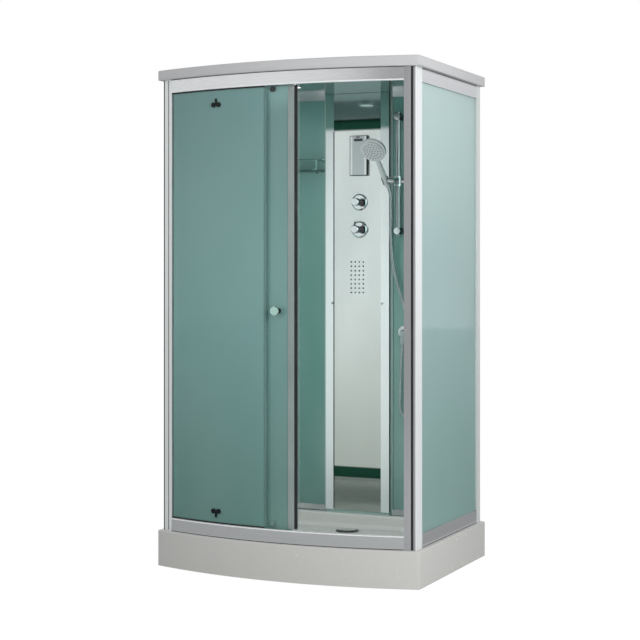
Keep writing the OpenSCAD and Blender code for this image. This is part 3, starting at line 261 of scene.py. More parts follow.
# Shower hose: 1.5 m of wound stainless strip over an inner tube, 14 mm across. Its cone nuts screw
# onto the hand shower's tail and the wall outlet, and it hangs between them in one long loop.
HOSE_R, NUT_RUN = 0.007, 0.008
HOSE_STEPS = 8
HOLDER_PLACE = Vector((0.180, 0.312, 1.665))
HAND_LEAN = math.radians(47)
TAIL = 0.0421
hose_way = Vector((0, math.sin(HAND_LEAN), -math.cos(HAND_LEAN)))
hose_start = HOLDER_PLACE + TAIL * hose_way
hose_knots = [hose_start, hose_start + NUT_RUN * hose_way] + [Vector(p) for p in (
    (0.1808, 0.3595, 1.6174), (0.1818, 0.3662, 1.6015), (0.1826, 0.3683, 1.5844), (0.183, 0.3678, 1.5644),
    (0.183, 0.3683, 1.5394), (0.1822, 0.3688, 1.5094), (0.1803, 0.3728, 1.4594), (0.179, 0.382, 1.385),
    (0.1808, 0.3925, 1.31), (0.193, 0.398, 1.235), (0.215, 0.400, 1.160), (0.236, 0.400, 1.090),
    (0.261, 0.400, 1.020), (0.286, 0.400, 0.950), (0.308, 0.400, 0.880), (0.326, 0.400, 0.810),
    (0.336, 0.400, 0.750), (0.340, 0.400, 0.700), (0.340, 0.400, 0.650),
    (0.3316, 0.400, 0.6188), (0.3087, 0.400, 0.5959), (0.2775, 0.400, 0.5875),
    (0.2463, 0.400, 0.5959), (0.2234, 0.400, 0.6188), (0.215, 0.400, 0.650),
    (0.215, 0.400, 0.700), (0.216, 0.400, 0.755), (0.217, 0.400, 0.810), (0.220, 0.399, 0.865),
    (0.225, 0.399, 0.905), (0.225, 0.399, 0.930))]


def smooth_way(knots, steps):
    """Points on the smooth curve through the knots."""
    points, last = [], len(knots) - 1
    for i in range(last):
        a, b, c, d = knots[max(i - 1, 0)], knots[i], knots[i + 1], knots[min(i + 2, last)]
        for j in range(steps):
            t = j / steps
            points.append(0.5 * (2 * b + (c - a) * t + (2 * a - 5 * b + 4 * c - d) * t * t
                                 + (3 * b - a - 3 * c + d) * t * t * t))
    return points + [knots[-1]]


hose_points = smooth_way(hose_knots, HOSE_STEPS)


def way_length(points):
    return sum((b - a).length for a, b in zip(points, points[1:]))


def split_way(points, at):
    """The part of a way before the length at, and the part after it."""
    gone = 0.0
    for i, (a, b) in enumerate(zip(points, points[1:])):
        step = (b - a).length
        if gone + step >= at:
            cut = a.lerp(b, (at - gone) / step)
            return points[:i + 1] + [cut], [cut] + points[i + 1:]
        gone += step
    return points, points[-1:]


def tree_of(name, inputs):
    """A Geometry Nodes tree and its named inputs as values, the incoming geometry first."""
    tree = bpy.data.node_groups.new(name, "GeometryNodeTree")
    tree.is_modifier = True
    making = Finish(name, tree)
    tree.interface.new_socket("Geometry", in_out="OUTPUT", socket_type="NodeSocketGeometry")
    tree.interface.new_socket("Geometry", in_out="INPUT", socket_type="NodeSocketGeometry")
    for title, kind, value in inputs:
        socket = tree.interface.new_socket(title, in_out="INPUT", socket_type="NodeSocket" + kind)
        if value is not None:
            socket.default_value = value
    given = tree.nodes.new("NodeGroupInput")
    return making, [Value(making, given.outputs[title]) for title in ["Geometry"] + [i[0] for i in inputs]]


def finish_tree(making, geometry, material):
    """Ends a tree: its copies become one mesh of one material."""
    real = making.node("GeometryNodeRealizeInstances", {}, [geometry])
    making.node("NodeGroupOutput", {}, [making.node("GeometryNodeSetMaterial", {},
                                                    {"Geometry": real, "Material": material})])
    return making.tree


STEPS_PER_RIB = 4.0


def rod_tree():
    """A rod along a curve. With a rib depth its radius falls once each pitch, as on wound strip."""
    rod, (way, radius, pitch, depth, sides, material) = tree_of("rod", (
        ("Radius", "Float", HOSE_R), ("Pitch", "Float", 0.0026), ("Rib depth", "Float", 0.0),
        ("Sides", "Int", 14), ("Material", "Material", None)))
    even = rod.node("GeometryNodeResampleCurve", {"mode": "LENGTH"},
                    {"Curve": way, "Length": pitch * (1 / STEPS_PER_RIB)})
    sunk = rod.node("GeometryNodeInputIndex").math("MODULO", STEPS_PER_RIB).math("LESS_THAN", 0.5)
    ring = rod.node("GeometryNodeCurvePrimitiveCircle", {}, {"Resolution": sides, "Radius": 1.0})
    tube = rod.node("GeometryNodeCurveToMesh", {}, {"Curve": even, "Profile Curve": ring, "Fill Caps": True,
                                                    "Scale": radius - sunk * depth})
    return finish_tree(rod, tube, material)


def run_tree(name, source, tree, inputs):
    """Runs a tree on a source and returns the result as a plain piece."""
    modifier = source.modifiers.new("make", "NODES")
    modifier.node_group = tree
    for item in tree.interface.items_tree:
        if item.in_out == "INPUT" and item.name in inputs:
            modifier[item.identifier] = inputs[item.name]
    bpy.context.view_layer.update()
    result = source.evaluated_get(bpy.context.evaluated_depsgraph_get())
    mesh = bpy.data.meshes.new_from_object(result)
    mesh.name = name
    while mesh.materials[0] is None:
        mesh.materials.pop(index=0)
    for face in mesh.polygons:
        face.material_index = 0
    bpy.data.objects.remove(source)
    piece = bpy.data.objects.new(name, mesh)
    bpy.context.scene.collection.objects.link(piece)
    return piece


def smooth_faces(piece, sharp_over):
    """Smooth shading, apart from edges that turn by more than an angle in degrees."""
    for face in piece.data.polygons:
        face.use_smooth = True
    piece.data.set_sharp_from_angle(angle=math.radians(sharp_over))


def way_object(name, *ways):
    """A curve object of open ways."""
    data = bpy.data.curves.new(name, "CURVE")
    data.dimensions = "3D"
    for points in ways:
        spline = data.splines.new("POLY")
        spline.points.add(len(points) - 1)
        for point, co in zip(spline.points, points):
            point.co = (*co, 1)
    line = bpy.data.objects.new(name, data)
    bpy.context.scene.collection.objects.link(line)
    return line


def polished(name, tint, rough=0.07, smudge=0.06, wave=0.00002):
    """Polished plated metal: finger smudges in its gloss and a faint swell in its surface."""
    metal = Finish(name)
    smear = metal.smears()
    dust = metal.noise((420, 420, 420), 2.0)
    swell = metal.noise((9, 9, 9), 1.0)
    return metal.surface(Base_Color=metal.mix(smear * 0.5, tint, shaded(tint, 0.9)),
                         Metallic=1.0, Roughness=smear * smudge + dust * 0.03 + rough,
                         Normal=metal.bump(swell, wave))


hose_metal = polished("hose_metal", colour(205, 207, 210), rough=0.2)
rod = rod_tree()
TOP_STRETCH, SLIDE_STRETCH = 0.085, 0.085
RIB_DEPTH = 0.0005
LOOP_HELD_BELOW = (0.225, 0.399, 0.95)
top_way, rest_way = split_way(hose_points, TOP_STRETCH)
slide_way, low_way = split_way(rest_way, SLIDE_STRETCH)
for name, way_points, bodies in (("hose_top", top_way, ("holder", "hand_shower")),
                                 ("hose_middle", slide_way, ("slider", "holder")),
                                 ("hose_loop", low_way, ("cabin", "slider"))):
    stretch = run_tree(name, way_object(name, way_points), rod,
                       {"Rib depth": RIB_DEPTH, "Material": hose_metal})
    smooth_faces(stretch, 60)
    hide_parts("shower_hose")
    low_end = LOOP_HELD_BELOW if name == "hose_loop" else way_points[-1]
    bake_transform(stretch)
    way_length(way_points)

# Tray: one vacuum-formed acrylic shell, backed with fibreglass. It has a skirt down to the floor, a
# flat rim for the frame and a flat basin with a hole for the waste. Its edges are softly rounded.
CABIN_HALF, CABIN_BACK = 0.600, 0.450
BOW_R, BOW_Y = 1.94224, 1.49224
TRAY_TOP, BASIN_FLOOR, TRAY_WALL = 0.152, 0.090, 0.005
RIM_INSET = 0.072
WASTE_Y, WASTE_R = 0.295, 0.045
PIPE_Z, PIPE_HOLE_R = 0.040, 0.028


def plan_ring(inset, z, corner, arc_steps=48, corner_steps=6):
    """The cabin's plan, inset by a length and with rounded corners, as one ring at a height."""
    half, back, radius = CABIN_HALF - inset, CABIN_BACK - inset, BOW_R - inset
    reach = radius - corner
    side_angle = math.asin((half - corner) / reach)
    ring = []
    for k in range(arc_steps + 1):
        a = -side_angle + 2 * side_angle * k / arc_steps
        ring.append((radius * math.sin(a), BOW_Y - radius * math.cos(a), z))

    def corner_points(x, y, start, end):
        for k in range(1, corner_steps + 1):
            a = start + (end - start) * k / corner_steps
            ring.append((x + corner * math.cos(a), y + corner * math.sin(a), z))

    quarter = math.pi / 2
    front_x, front_y = reach * math.sin(side_angle), BOW_Y - reach * math.cos(side_angle)
    corner_points(front_x, front_y, side_angle - quarter, 0)
    ring.append((half, back - corner, z))
    corner_points(half - corner, back - corner, 0, quarter)
    ring.append((corner - half, back, z))
    corner_points(corner - half, back - corner, quarter, 2 * quarter)
    ring.append((-half, front_y, z))
    corner_points(-front_x, front_y, 2 * quarter, 3 * quarter - side_angle)
    return ring[:-1]


def rounded(centre_inset, centre_z, radius, start, end, steps=5):
    """Inset and height pairs along a rounding, from one angle to another."""
    pairs = []
    for k in range(steps + 1):
        a = math.radians(start + (end - start) * k / steps)
        pairs.append((centre_inset + radius * math.cos(a), centre_z + radius * math.sin(a)))
    return pairs


def moulded(name, tint, rough=0.3, shade=0.03, coat=0.0, ripple=0.00003):
    """Moulded plastic or lacquer: a faint orange peel, and slow changes of tone and gloss."""
    resin = Finish(name)
    cloud = resin.noise((5, 5, 5), 3.0)
    peel = resin.noise((260, 260, 260), 2.0)
    rubbed = resin.noise((35, 35, 35), 4.0, 0.6).between(0.45, 0.8)
    return resin.surface(Base_Color=resin.mix(cloud, shaded(tint, 1 - shade), tint),
                         Roughness=rubbed * 0.08 + rough, Coat_Weight=coat, Coat_Roughness=0.05,
                         Normal=resin.bump(peel, ripple))


acrylic = moulded("acrylic", colour(187, 187, 184), rough=0.22, coat=0.3)
EDGE, INNER_EDGE, COVE, DRAFT = 0.005, 0.007, 0.022, 0.001
tray_profile = [(0, 0)] + rounded(EDGE, TRAY_TOP - EDGE, EDGE, 180, 90)
tray_profile += rounded(RIM_INSET - INNER_EDGE, TRAY_TOP - INNER_EDGE, INNER_EDGE, 90, 0)
tray_profile += rounded(RIM_INSET + COVE + DRAFT, BASIN_FLOOR + COVE, COVE, 180, 270)


def shell_from(name, profile, wall, material, corner_of):
    """A shell under a profile of insets and heights, with an even wall, closed along its lower edge."""
    outside = [plan_ring(inset, z, corner_of(inset)) for inset, z in profile]
    inside = []
    for i, (inset, z) in enumerate(profile):
        before, after = profile[max(i - 1, 0)], profile[min(i + 1, len(profile) - 1)]
        run, rise = after[0] - before[0], after[1] - before[1]
        size = math.hypot(run, rise)
        inset_in, z_in = inset + wall * rise / size, z - wall * run / size
        if i == 0:
            inset_in, z_in = inset + wall, z
        inside.append(plan_ring(inset_in, z_in, corner_of(inset_in)))
    count = len(outside[0])
    faces = []

    def band(r, s):
        for k in range(count):
            m = (k + 1) % count
            faces.append((r * count + k, r * count + m, s * count + m, s * count + k))

    for r in range(len(outside) - 1):
        band(r, r + 1)
        band(len(outside) + r + 1, len(outside) + r)
    band(len(outside), 0)
    last_out, last_in = len(outside) - 1, 2 * len(outside) - 1
    faces.append(tuple(last_out * count + k for k in range(count)))
    faces.append(tuple(last_in * count + k for k in reversed(range(count))))
    return mesh_piece(name, [p for ring in outside + inside for p in ring], faces, material)


def tray_corner(inset):
    """The radius of the plan's corners, which grows from the rim to the basin."""
    return 0.006 + max(0.0, inset - 0.03) * 0.6


tray = shell_from("tray", tray_profile, TRAY_WALL, acrylic, tray_corner)


def cut_hole(piece, place, axis, radius, length):
    """Cuts a round hole through a piece."""
    bm = bmesh.new()
    turn = Vector((0, 0, 1)).rotation_difference(Vector(axis)).to_matrix().to_4x4()
    bmesh.ops.create_cone(bm, cap_ends=True, segments=64, radius1=radius, radius2=radius, depth=length,
                          matrix=Matrix.Translation(place) @ turn)
    mesh = bpy.data.meshes.new("cutter")
    bm.to_mesh(mesh)
    bm.free()
    cutter = bpy.data.objects.new("cutter", mesh)
    bpy.context.scene.collection.objects.link(cutter)
    modifier = piece.modifiers.new("hole", "BOOLEAN")
    modifier.operation, modifier.solver, modifier.object = "DIFFERENCE", "EXACT", cutter
    bpy.context.view_layer.update()
    result = piece.evaluated_get(bpy.context.evaluated_depsgraph_get())
    whole = bpy.data.meshes.new_from_object(result)
    piece.modifiers.clear()
    piece.data = whole
    bpy.data.objects.remove(cutter)


cut_hole(tray, (0, WASTE_Y, BASIN_FLOOR), (0, 0, 1), WASTE_R, 0.06)
cut_hole(tray, (0, CABIN_BACK, PIPE_Z), (0, 1, 0), PIPE_HOLE_R, 0.03)
smooth_faces(tray, 40)
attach(tray, "cabin")
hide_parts("tray_shell")

# Subframe, feet and waste, under the basin: zinc-plated square tube with ground welds, black
# moulded feet on threaded rods, a moulded waste body, and a pressed chrome cover that lifts off. The
# black ring round the cover's edge is painted shade of the gap under it.


def dress(material, *nodes):
    """Gives a finish to pieces of the frame whose shape stays."""
    for node in nodes:
        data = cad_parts[node].data
        data.materials.clear()
        data.materials.append(material)


zinc = Finish("steel")
spangle = zinc.node("ShaderNodeTexVoronoi", {}, {"Vector": zinc.place((90, 90, 90)), "Scale": 1.0}, "Color")
flake = zinc.node("ShaderNodeSeparateXYZ", {}, [spangle])
dress(zinc.surface(Base_Color=zinc.mix(flake, colour(150, 153, 156), colour(186, 188, 190)), Metallic=0.9,
                   Roughness=flake * 0.2 + 0.35), "subframe")
dress(moulded("feet_plastic", colour(40, 40, 42), rough=0.5, ripple=0.0001), "levelling_feet")
dress(moulded("waste_plastic", colour(70, 72, 74), rough=0.45), "waste_body")
RIM_SHADE_R = 0.0385
cover = Finish("cover_chrome")
cover_x = cover.own("X")
cover_y = cover.own("Y") - WASTE_Y
from_waste = (cover_x * cover_x + cover_y * cover_y).math("SQRT")
# The dark ring round the cover's edge is painted shade of the gap under the cover.
cover_rim_shade = from_waste.between(RIM_SHADE_R, RIM_SHADE_R + 0.0007)
dress(cover.surface(Base_Color=cover.mix(cover_rim_shade, colour(196, 200, 200), colour(24, 28, 28)),
                    Metallic=1 - cover_rim_shade, Roughness=cover.smears() * 0.06 + 0.14), "waste_cover")

# Frame: extruded aluminium, drawn fine along its length and clear anodised, satin on the posts. They
# stand on the tray, jambs are screwed to them, and bowed rails with rounded lips join the jambs. The
# lips' pale colour is a painted highlight, and the right post's front face has painted shade.
# Black rubber gaskets fill the posts' rebates and grip the fixed pane along the rails.


def anodised(name, tint, along, rough=0.24, streak=0.03, metallic=1.0, painted_shade_face=None):
    """Aluminium with the fine lines of its drawing along one axis, and painted shade on a face in a range
    of X.
    """
    fine, broad = [1400.0] * 3, [130.0] * 3
    fine["XYZ".index(along)], broad["XYZ".index(along)] = 2.0, 0.7
    metal = Finish(name)
    lines = metal.noise(tuple(fine), 2.0)
    bands = metal.noise(tuple(broad), 2.0).between(0.3, 0.7)
    marks = metal.noise((18, 18, 18), 4.0, 0.65).between(0.4, 0.9)
    body = metal.mix(bands * 0.6 + lines * 0.4, shaded(tint, 0.93), tint)
    if painted_shade_face:
        start, end = painted_shade_face
        inside = metal.own("X").band((start, start + 0.001), (end, end + 0.002))
        body = metal.mix(inside, body, colour(152, 150, 154))
    return metal.surface(Base_Color=body, Metallic=metallic,
                         Roughness=lines * streak + marks * 0.02 + rough,
                         Normal=metal.bump(lines, 0.000002))


silver = colour(214, 216, 219)
# The right post's front face, which carries painted shade.
POST_FRONT = (0.561, 0.5765)
dress(anodised("aluminium", silver, "Z"), "right_jamb")
dress(anodised("aluminium_post", colour(232, 235, 236), "Z", rough=0.3, metallic=0.3,
               painted_shade_face=POST_FRONT),
      "front_left_post", "front_right_post", "left_jamb")
dress(anodised("aluminium_back_post", colour(208, 213, 212), "Z", rough=0.3, metallic=0.3), "back_posts")
dress(anodised("aluminium_across", colour(230, 232, 234), "X", rough=0.18),
      "top_front_rail", "bottom_front_rail", "back_rails")
dress(anodised("aluminium_back", silver, "Y", rough=0.18), "side_top_rails", "side_bottom_rails")


def rubber(name, tint, rough=0.62):
    """Black rubber or soft plastic, dull, with a dry bloom and fine pores."""
    black = Finish(name)
    pores = black.noise((900, 900, 900), 2.0)
    bloom = black.noise((30, 30, 12), 4.0, 0.6).between(0.5, 0.85)
    grey = tuple(c + 0.02 for c in tint[:3]) + (1,)
    return black.surface(Base_Color=black.mix(bloom, tint, grey), Roughness=rough - 0.08 * bloom,
                         Normal=black.bump(pores, 0.00004))


black_rubber = rubber("black_rubber", colour(26, 28, 28))
dress(black_rubber, "corner_gaskets", "door_stops")
# The lips' pale colour, less metallic than the rails, is a painted highlight.
lip_highlight_finish = anodised("lip_painted_highlight", colour(238, 242, 242), "X", rough=0.22, metallic=0.2)
FRAME_R, OPENING_HALF, PANE_DEPTH, PANE_END = 1.92224, 0.5325, 0.009, -0.053


def bow_way(depth, z, start_x, end_x, steps=160):
    """Points along the bowed front at a height, at a depth behind the frame's face."""
    reach = FRAME_R - depth
    start, end = math.asin(start_x / reach), math.asin(end_x / reach)
    angles = [start + (end - start) * k / steps for k in range(steps + 1)]
    return [(reach * math.sin(a), BOW_Y - reach * math.cos(a), z) for a in angles]


def frame_cord(name, ways, radius, pitch, sides, material):
    """Round trim along open ways of the frame."""
    piece = run_tree(name, way_object(name, *ways), rod,
                     {"Radius": radius, "Pitch": pitch, "Sides": sides, "Material": material})
    smooth_faces(piece, 60)
    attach(piece, "cabin")


for name, z, down in (("top", 2.022, 1), ("bottom", 0.208, -1)):
    lip_way = bow_way(0.004, z + 0.004 * down, -OPENING_HALF, OPENING_HALF)
    frame_cord(name + "_lip", [lip_way], 0.0045, 0.03, 12, lip_highlight_finish)
    gasket_way = bow_way(PANE_DEPTH - 0.0022, z - 0.0025 * down, -OPENING_HALF, PANE_END)
    frame_cord(name + "_gasket", [gasket_way], 0.0034, 0.03, 12, black_rubber)

# Joint beads: black rubber cord pressed into the joints of the frame, where the rails meet the tray and
# the roof, where the left post, jamb and fixed pane meet, and at two upright edges of the column.
TRAY_JOINT, ROOF_JOINT = 0.1532, 2.0768
BACK_FACE_Y, SIDE_FACE_X = 0.4196, 0.5796
bead_ways = [bow_way(0.0002, z, -OPENING_HALF, OPENING_HALF) for z in (TRAY_JOINT, ROOF_JOINT)]
bead_ways += [[(-0.559, BACK_FACE_Y, TRAY_JOINT), (0.559, BACK_FACE_Y, TRAY_JOINT)]]
bead_ways += [[(x, -0.272, z), (x, 0.392, z)]
              for x in (-SIDE_FACE_X, SIDE_FACE_X) for z in (TRAY_JOINT, ROOF_JOINT)]
frame_cord("joint_beads", bead_ways, 0.0012, 0.06, 10, black_rubber)
cord_ways = [[(x, y, low), (x, y, high)] for x, y, low, high in (
    (-0.5772, -0.3396, 0.156, 2.074), (-0.5500, -0.3485, 0.156, 2.074), (-0.5318, -0.3458, 0.212, 2.018),
    (-0.1172, 0.4072, 0.168, 1.902), (0.1586, 0.4088, 0.168, 2.070))]
frame_cord("edge_cords", cord_ways, 0.0022, 0.06, 12, black_rubber)

# Screws: six stainless pan-head screws hold the jambs, and two wider ones hold the column. Each has a
# cross recess and sits on the face of its profile or strip.
screw_steel = polished("screw_steel", colour(196, 198, 200), rough=0.22)


def screw_tree():
    """A pan head with a cross recess on each point, turned as the point says."""
    heads, (points, radius, rise, material) = tree_of("screw_heads", (
        ("Radius", "Float", 0.0045), ("Rise", "Float", 0.0025), ("Material", "Material", None)))
    pan = heads.node("GeometryNodeMeshCone", {},
                     {"Vertices": 28, "Fill Segments": 1, "Radius Top": radius * 0.72,
                      "Radius Bottom": radius, "Depth": rise})
    solid = heads.node("GeometryNodeMeshBoolean", {"operation": "DIFFERENCE"}, {"Mesh 1": pan})
    for long, wide in ((1.1, 0.22), (0.22, 1.1)):
        size = heads.node("ShaderNodeCombineXYZ", {}, [radius * long, radius * wide, rise])
        bar = heads.node("GeometryNodeMeshCube", {}, {"Size": size})
        lift = heads.node("ShaderNodeCombineXYZ", {}, [0.0, 0.0, rise])
        raised = heads.node("GeometryNodeTransform", {}, {"Geometry": bar, "Translation": lift})
        heads.tree.links.new(raised.socket, solid.socket.node.inputs["Mesh 2"])
    turn = heads.node("GeometryNodeInputNamedAttribute", {"data_type": "FLOAT_VECTOR"}, {"Name": "turn"})
    placed = heads.node("GeometryNodeInstanceOnPoints", {},
                        {"Points": points, "Instance": solid, "Rotation": turn})
    return finish_tree(heads, placed, material)


def points_object(name, points, turns=None):
    """Loose points for a tree to put its copies on, each with a turn if turns are given."""
    mesh = bpy.data.meshes.new(name)
    mesh.from_pydata(points, [], [])
    if turns:
        turn = mesh.attributes.new("turn", "FLOAT_VECTOR", "POINT")
        turn.data.foreach_set("vector", [angle for angles in turns for angle in angles])
    seats = bpy.data.objects.new(name, mesh)
    bpy.context.scene.collection.objects.link(seats)
    return seats


RAIL_R, SCREW_RISE = 1.87224, 0.0025
JAMB_SCREW_Z, JAMB_SCREW_X = (0.304, 1.115, 1.926), (0.5465, -0.5415)
seats, turns = [], []
for z in JAMB_SCREW_Z:
    for x in JAMB_SCREW_X:
        a, reach = math.asin(x / RAIL_R), RAIL_R - SCREW_RISE / 2
        seats.append((reach * math.sin(a), BOW_Y - reach * math.cos(a), z))
        turns.append((-math.pi / 2, 0, a))
jamb_screws = run_tree("jamb_screws", points_object("jamb_screws", seats, turns), screw_tree(),
                       {"Rise": SCREW_RISE, "Material": screw_steel})
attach(jamb_screws, "cabin")
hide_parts("screws")
COLUMN_SCREW_X, COLUMN_SCREW_Y, COLUMN_SCREW_Z = 0.124, 0.4045, 1.113
strip_seats = [(x, COLUMN_SCREW_Y, COLUMN_SCREW_Z) for x in (-COLUMN_SCREW_X, COLUMN_SCREW_X)]
column_screws = run_tree("column_screws",
                         points_object("column_screws", strip_seats, [(math.pi / 2, 0, 0)] * 2),
                         screw_tree(), {"Radius": 0.006, "Rise": 0.003, "Material": screw_steel})
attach(column_screws, "cabin")
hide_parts("screws")

# Glass: 6 mm toughened panes. The front ones are tinted blue-green and acid-etched on the inside, the
# side ones are a paler frost, and the back ones and the shelf are deep green. Rubber-lined grooves
# hold the panes. Each pane's colour shifts towards its top and its bottom as painted light and shade.


def etched(name, tint, top_painted_tone, low_painted_tone, through, rough=0.4, cloud_share=0.5):
    """Tinted glass with an etched inner face: soft clouds in the etching, gloss outside, and painted light
    and shade towards its top and bottom.
    """
    glass = Finish(name)
    # Painted light and shade: the colour shifts towards the top and the bottom of each pane.
    height = glass.own("Z")
    high = height.between(1.2, 2.05)
    low = 1 - height.between(0.2, 1.1)
    body = glass.mix(low, glass.mix(high, tint, top_painted_tone), low_painted_tone)
    clouds = glass.noise((2.2, 2.2, 1.2), 3.0, 0.5).between(0.3, 0.75)
    etching = glass.noise((700, 700, 700), 2.0)
    paler = glass.mix(0.12, body, WHITE)
    return glass.surface(Base_Color=glass.mix(clouds * cloud_share, body, paler),
                         Roughness=etching * 0.06 + rough, Transmission_Weight=through, IOR=1.2,
                         Coat_Weight=0.6, Coat_Roughness=0.04, Normal=glass.bump(etching, 0.000004))


for name, tint, top_painted_tone, low_painted_tone, through, node in (
        ("front_glass", (154, 198, 195), (140, 184, 182), (128, 173, 166), 0.55, "fixed_front_glass"),
        ("door_pane", (147, 187, 184), (132, 170, 168), (124, 165, 158), 0.55, "door_glass"),
        ("side_pane", (176, 204, 203), (202, 226, 224), (143, 183, 178), 0.55, "side_glass"),
        ("back_pane", (80, 122, 114), (80, 128, 122), (86, 126, 118), 0.1, "back_glass")):
    dress(etched(name, colour(*tint), colour(*top_painted_tone), colour(*low_painted_tone), through), node)
shelf_green = colour(14, 60, 54)
dress(etched("shelf_pane", shelf_green, shelf_green, shelf_green, 0.1, 0.3, 0.1), "shelf_glass")

# Clips and seals of the front panes: dark plated double buttons on the fixed pane, thin vinyl seals gone
# a little grey on the panes' upright edges, and black magnet strips on the door and its jamb.
dress(polished("black_fittings", colour(46, 50, 50), rough=0.25), "fixed_glass_clips")


def soft_vinyl(name, dark, pale, alpha, clear_past=1.0):
    """Vinyl strip with drawn lines along it, gone a little cloudy, and clearer past an X."""
    vinyl = Finish(name)
    lines = vinyl.noise((600, 600, 3), 2.0)
    clouds = vinyl.noise((6, 6, 6), 3.0)
    clear = vinyl.own("X").between(clear_past, clear_past + 0.0005)
    return vinyl.surface(Base_Color=vinyl.mix(clouds, dark, pale), Roughness=lines * 0.15 + 0.22,
                         Alpha=(clouds * 0.08 + alpha) * (1 - clear * 0.8),
                         Normal=vinyl.bump(lines, 0.00003))


dress(soft_vinyl("clear_seal", colour(100, 130, 126), colour(118, 148, 144), 0.22), "fixed_glass_seal")
dress(soft_vinyl("wiper_seal", colour(110, 140, 136), colour(130, 158, 154), 0.22), "door_left_seal")
DOOR_EDGE_X = 0.0838
dress(soft_vinyl("edge_seal", colour(134, 148, 147), colour(158, 170, 168), 0.7, DOOR_EDGE_X),
      "door_right_seal")
dress(rubber("magnet", colour(20, 21, 23), 0.5), "door_magnet", "jamb_magnet")

# Rollers: white acetal wheels with a groove for the track, on short axles in the carriers. The upper
# carriers are moulded in black, the lower ones in the glass's own grey-green.
carrier = Finish("carrier_plastic")
upper_carriers = carrier.own("Z").between(0.9, 1.1)
carrier_grain = carrier.noise((300, 300, 300), 2.0)
dress(carrier.surface(Base_Color=carrier.mix(upper_carriers, colour(100, 130, 125), colour(40, 44, 44)),
                      Roughness=carrier_grain * 0.1 + 0.3, Normal=carrier.bump(carrier_grain, 0.00002)),
      "roller_carriers")
dress(moulded("wheel_plastic", colour(224, 224, 218), rough=0.35), "top_left_wheel", "top_right_wheel",
      "bottom_left_wheel", "bottom_right_wheel")

# Roof: a white vacuum-formed shell with softly rounded edges, and a glossy grey-green ceiling panel
# under its flange. A lamp with a plated ring and an opal lens is let into the ceiling.
roof_white = moulded("roof_plastic", colour(184, 185, 187), rough=0.3, coat=0.15)
ROOF_Z0, ROOF_Z1, ROOF_WALL = 2.078, 2.120, 0.004
ROOF_EDGE, ROOF_FOOT_EDGE = 0.005, 0.002
ROOF_FLANGE, ROOF_MIDDLE = 0.084, 0.30


def roof_ring(inset, z):
    """The roof's plan at an inset and a height, with sharper corners outside."""
    return plan_ring(inset, z, 0.006 if inset < 0.03 else 0.012)


roof_profile = [(ROOF_FLANGE, ROOF_Z0)]
roof_profile += rounded(ROOF_FOOT_EDGE, ROOF_Z0 + ROOF_FOOT_EDGE, ROOF_FOOT_EDGE, 270, 180, 2)
roof_profile += rounded(ROOF_EDGE, ROOF_Z1 - ROOF_EDGE, ROOF_EDGE, 180, 90)
roof_profile += [(ROOF_MIDDLE, ROOF_Z1)]
roof_inner = [(ROOF_MIDDLE, ROOF_Z1 - ROOF_WALL), (ROOF_WALL + 0.001, ROOF_Z1 - ROOF_WALL),
              (ROOF_WALL, ROOF_Z0 + ROOF_WALL), (ROOF_FLANGE, ROOF_Z0 + ROOF_WALL)]
roof_rings = [roof_ring(inset, z) for inset, z in roof_profile + roof_inner]
roof_count, outer_count = len(roof_rings[0]), len(roof_profile)
roof_faces = []
for r in range(len(roof_rings)):
    s = (r + 1) % len(roof_rings)
    if r == outer_count - 1:
        roof_faces.append(tuple(r * roof_count + k for k in range(roof_count)))
        roof_faces.append(tuple(s * roof_count + k for k in reversed(range(roof_count))))
        continue
    for k in range(roof_count):
        m = (k + 1) % roof_count
        roof_faces.append((r * roof_count + k, r * roof_count + m, s * roof_count + m, s * roof_count + k))
roof = mesh_piece("roof", [p for ring in roof_rings for p in ring], roof_faces, roof_white)
smooth_faces(roof, 40)
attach(roof, "cabin")
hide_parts("roof_shell")
dress(moulded("ceiling", colour(88, 108, 105), rough=0.12, coat=0.6), "ceiling_panel")
dress(polished("lamp_chrome", colour(205, 207, 210), rough=0.12), "lamp_ring")
opal = Finish("lamp_lens")
opal_prisms = opal.node("ShaderNodeTexVoronoi", {},
                        {"Vector": opal.place((190, 190, 190)), "Scale": 1.0}, "Distance")
dress(opal.surface(Base_Color=(0.9, 0.9, 0.87, 1), Roughness=opal_prisms * 0.2 + 0.25,
                   Emission_Color=(1.0, 0.98, 0.92, 1), Emission_Strength=1.6,
                   Normal=opal.bump(opal_prisms, 0.0003)), "lamp_lens")

# Column: a folded and lacquered sheet body with channels for the back panes. A polished face is bonded
# to it, between two brushed strips. The face's deep green band near each end, its darker lower part and
# its grey-green top are painted reflections, and the strips' dark tops are painted shade.
TOP_REFLECTION_BAND, LOW_REFLECTION_BAND = ((1.898, 1.912), (1.950, 1.964)), ((0.312, 0.319), (0.360, 0.368))
dress(moulded("column_sheet", colour(130, 154, 148), rough=0.3), "column_body")
mirror = Finish("polished_face")
mirror_clouds = mirror.noise((4, 4, 1.5), 3.0).between(0.3, 0.75)
mirror_lines = mirror.noise((1200, 1200, 2), 2.0)
mirror_height = mirror.own("Z")
# Painted reflections: deep green bands near both ends, a darker lower part and a grey-green top.
top_painted_reflection = mirror_height.band(*TOP_REFLECTION_BAND)
low_painted_reflection = mirror_height.band(*LOW_REFLECTION_BAND)
silver_and_reflections = mirror.mix(mirror_clouds, colour(208, 212, 210), colour(224, 227, 225))
silver_and_reflections = mirror.mix(mirror_height.between(0.25, 1.3), colour(178, 184, 178), silver_and_reflections)
silver_and_reflections = mirror.mix(mirror_height.between(*TOP_REFLECTION_BAND[1]), silver_and_reflections, colour(140, 162, 160))
dress(mirror.surface(Base_Color=mirror.mix(top_painted_reflection + low_painted_reflection, silver_and_reflections, colour(12, 58, 44)),
                     Metallic=0.8, Roughness=mirror_lines * 0.04 + 0.05,
                     Normal=mirror.bump(mirror_lines, 0.000002)), "column_face")
strip = Finish("column_strip")
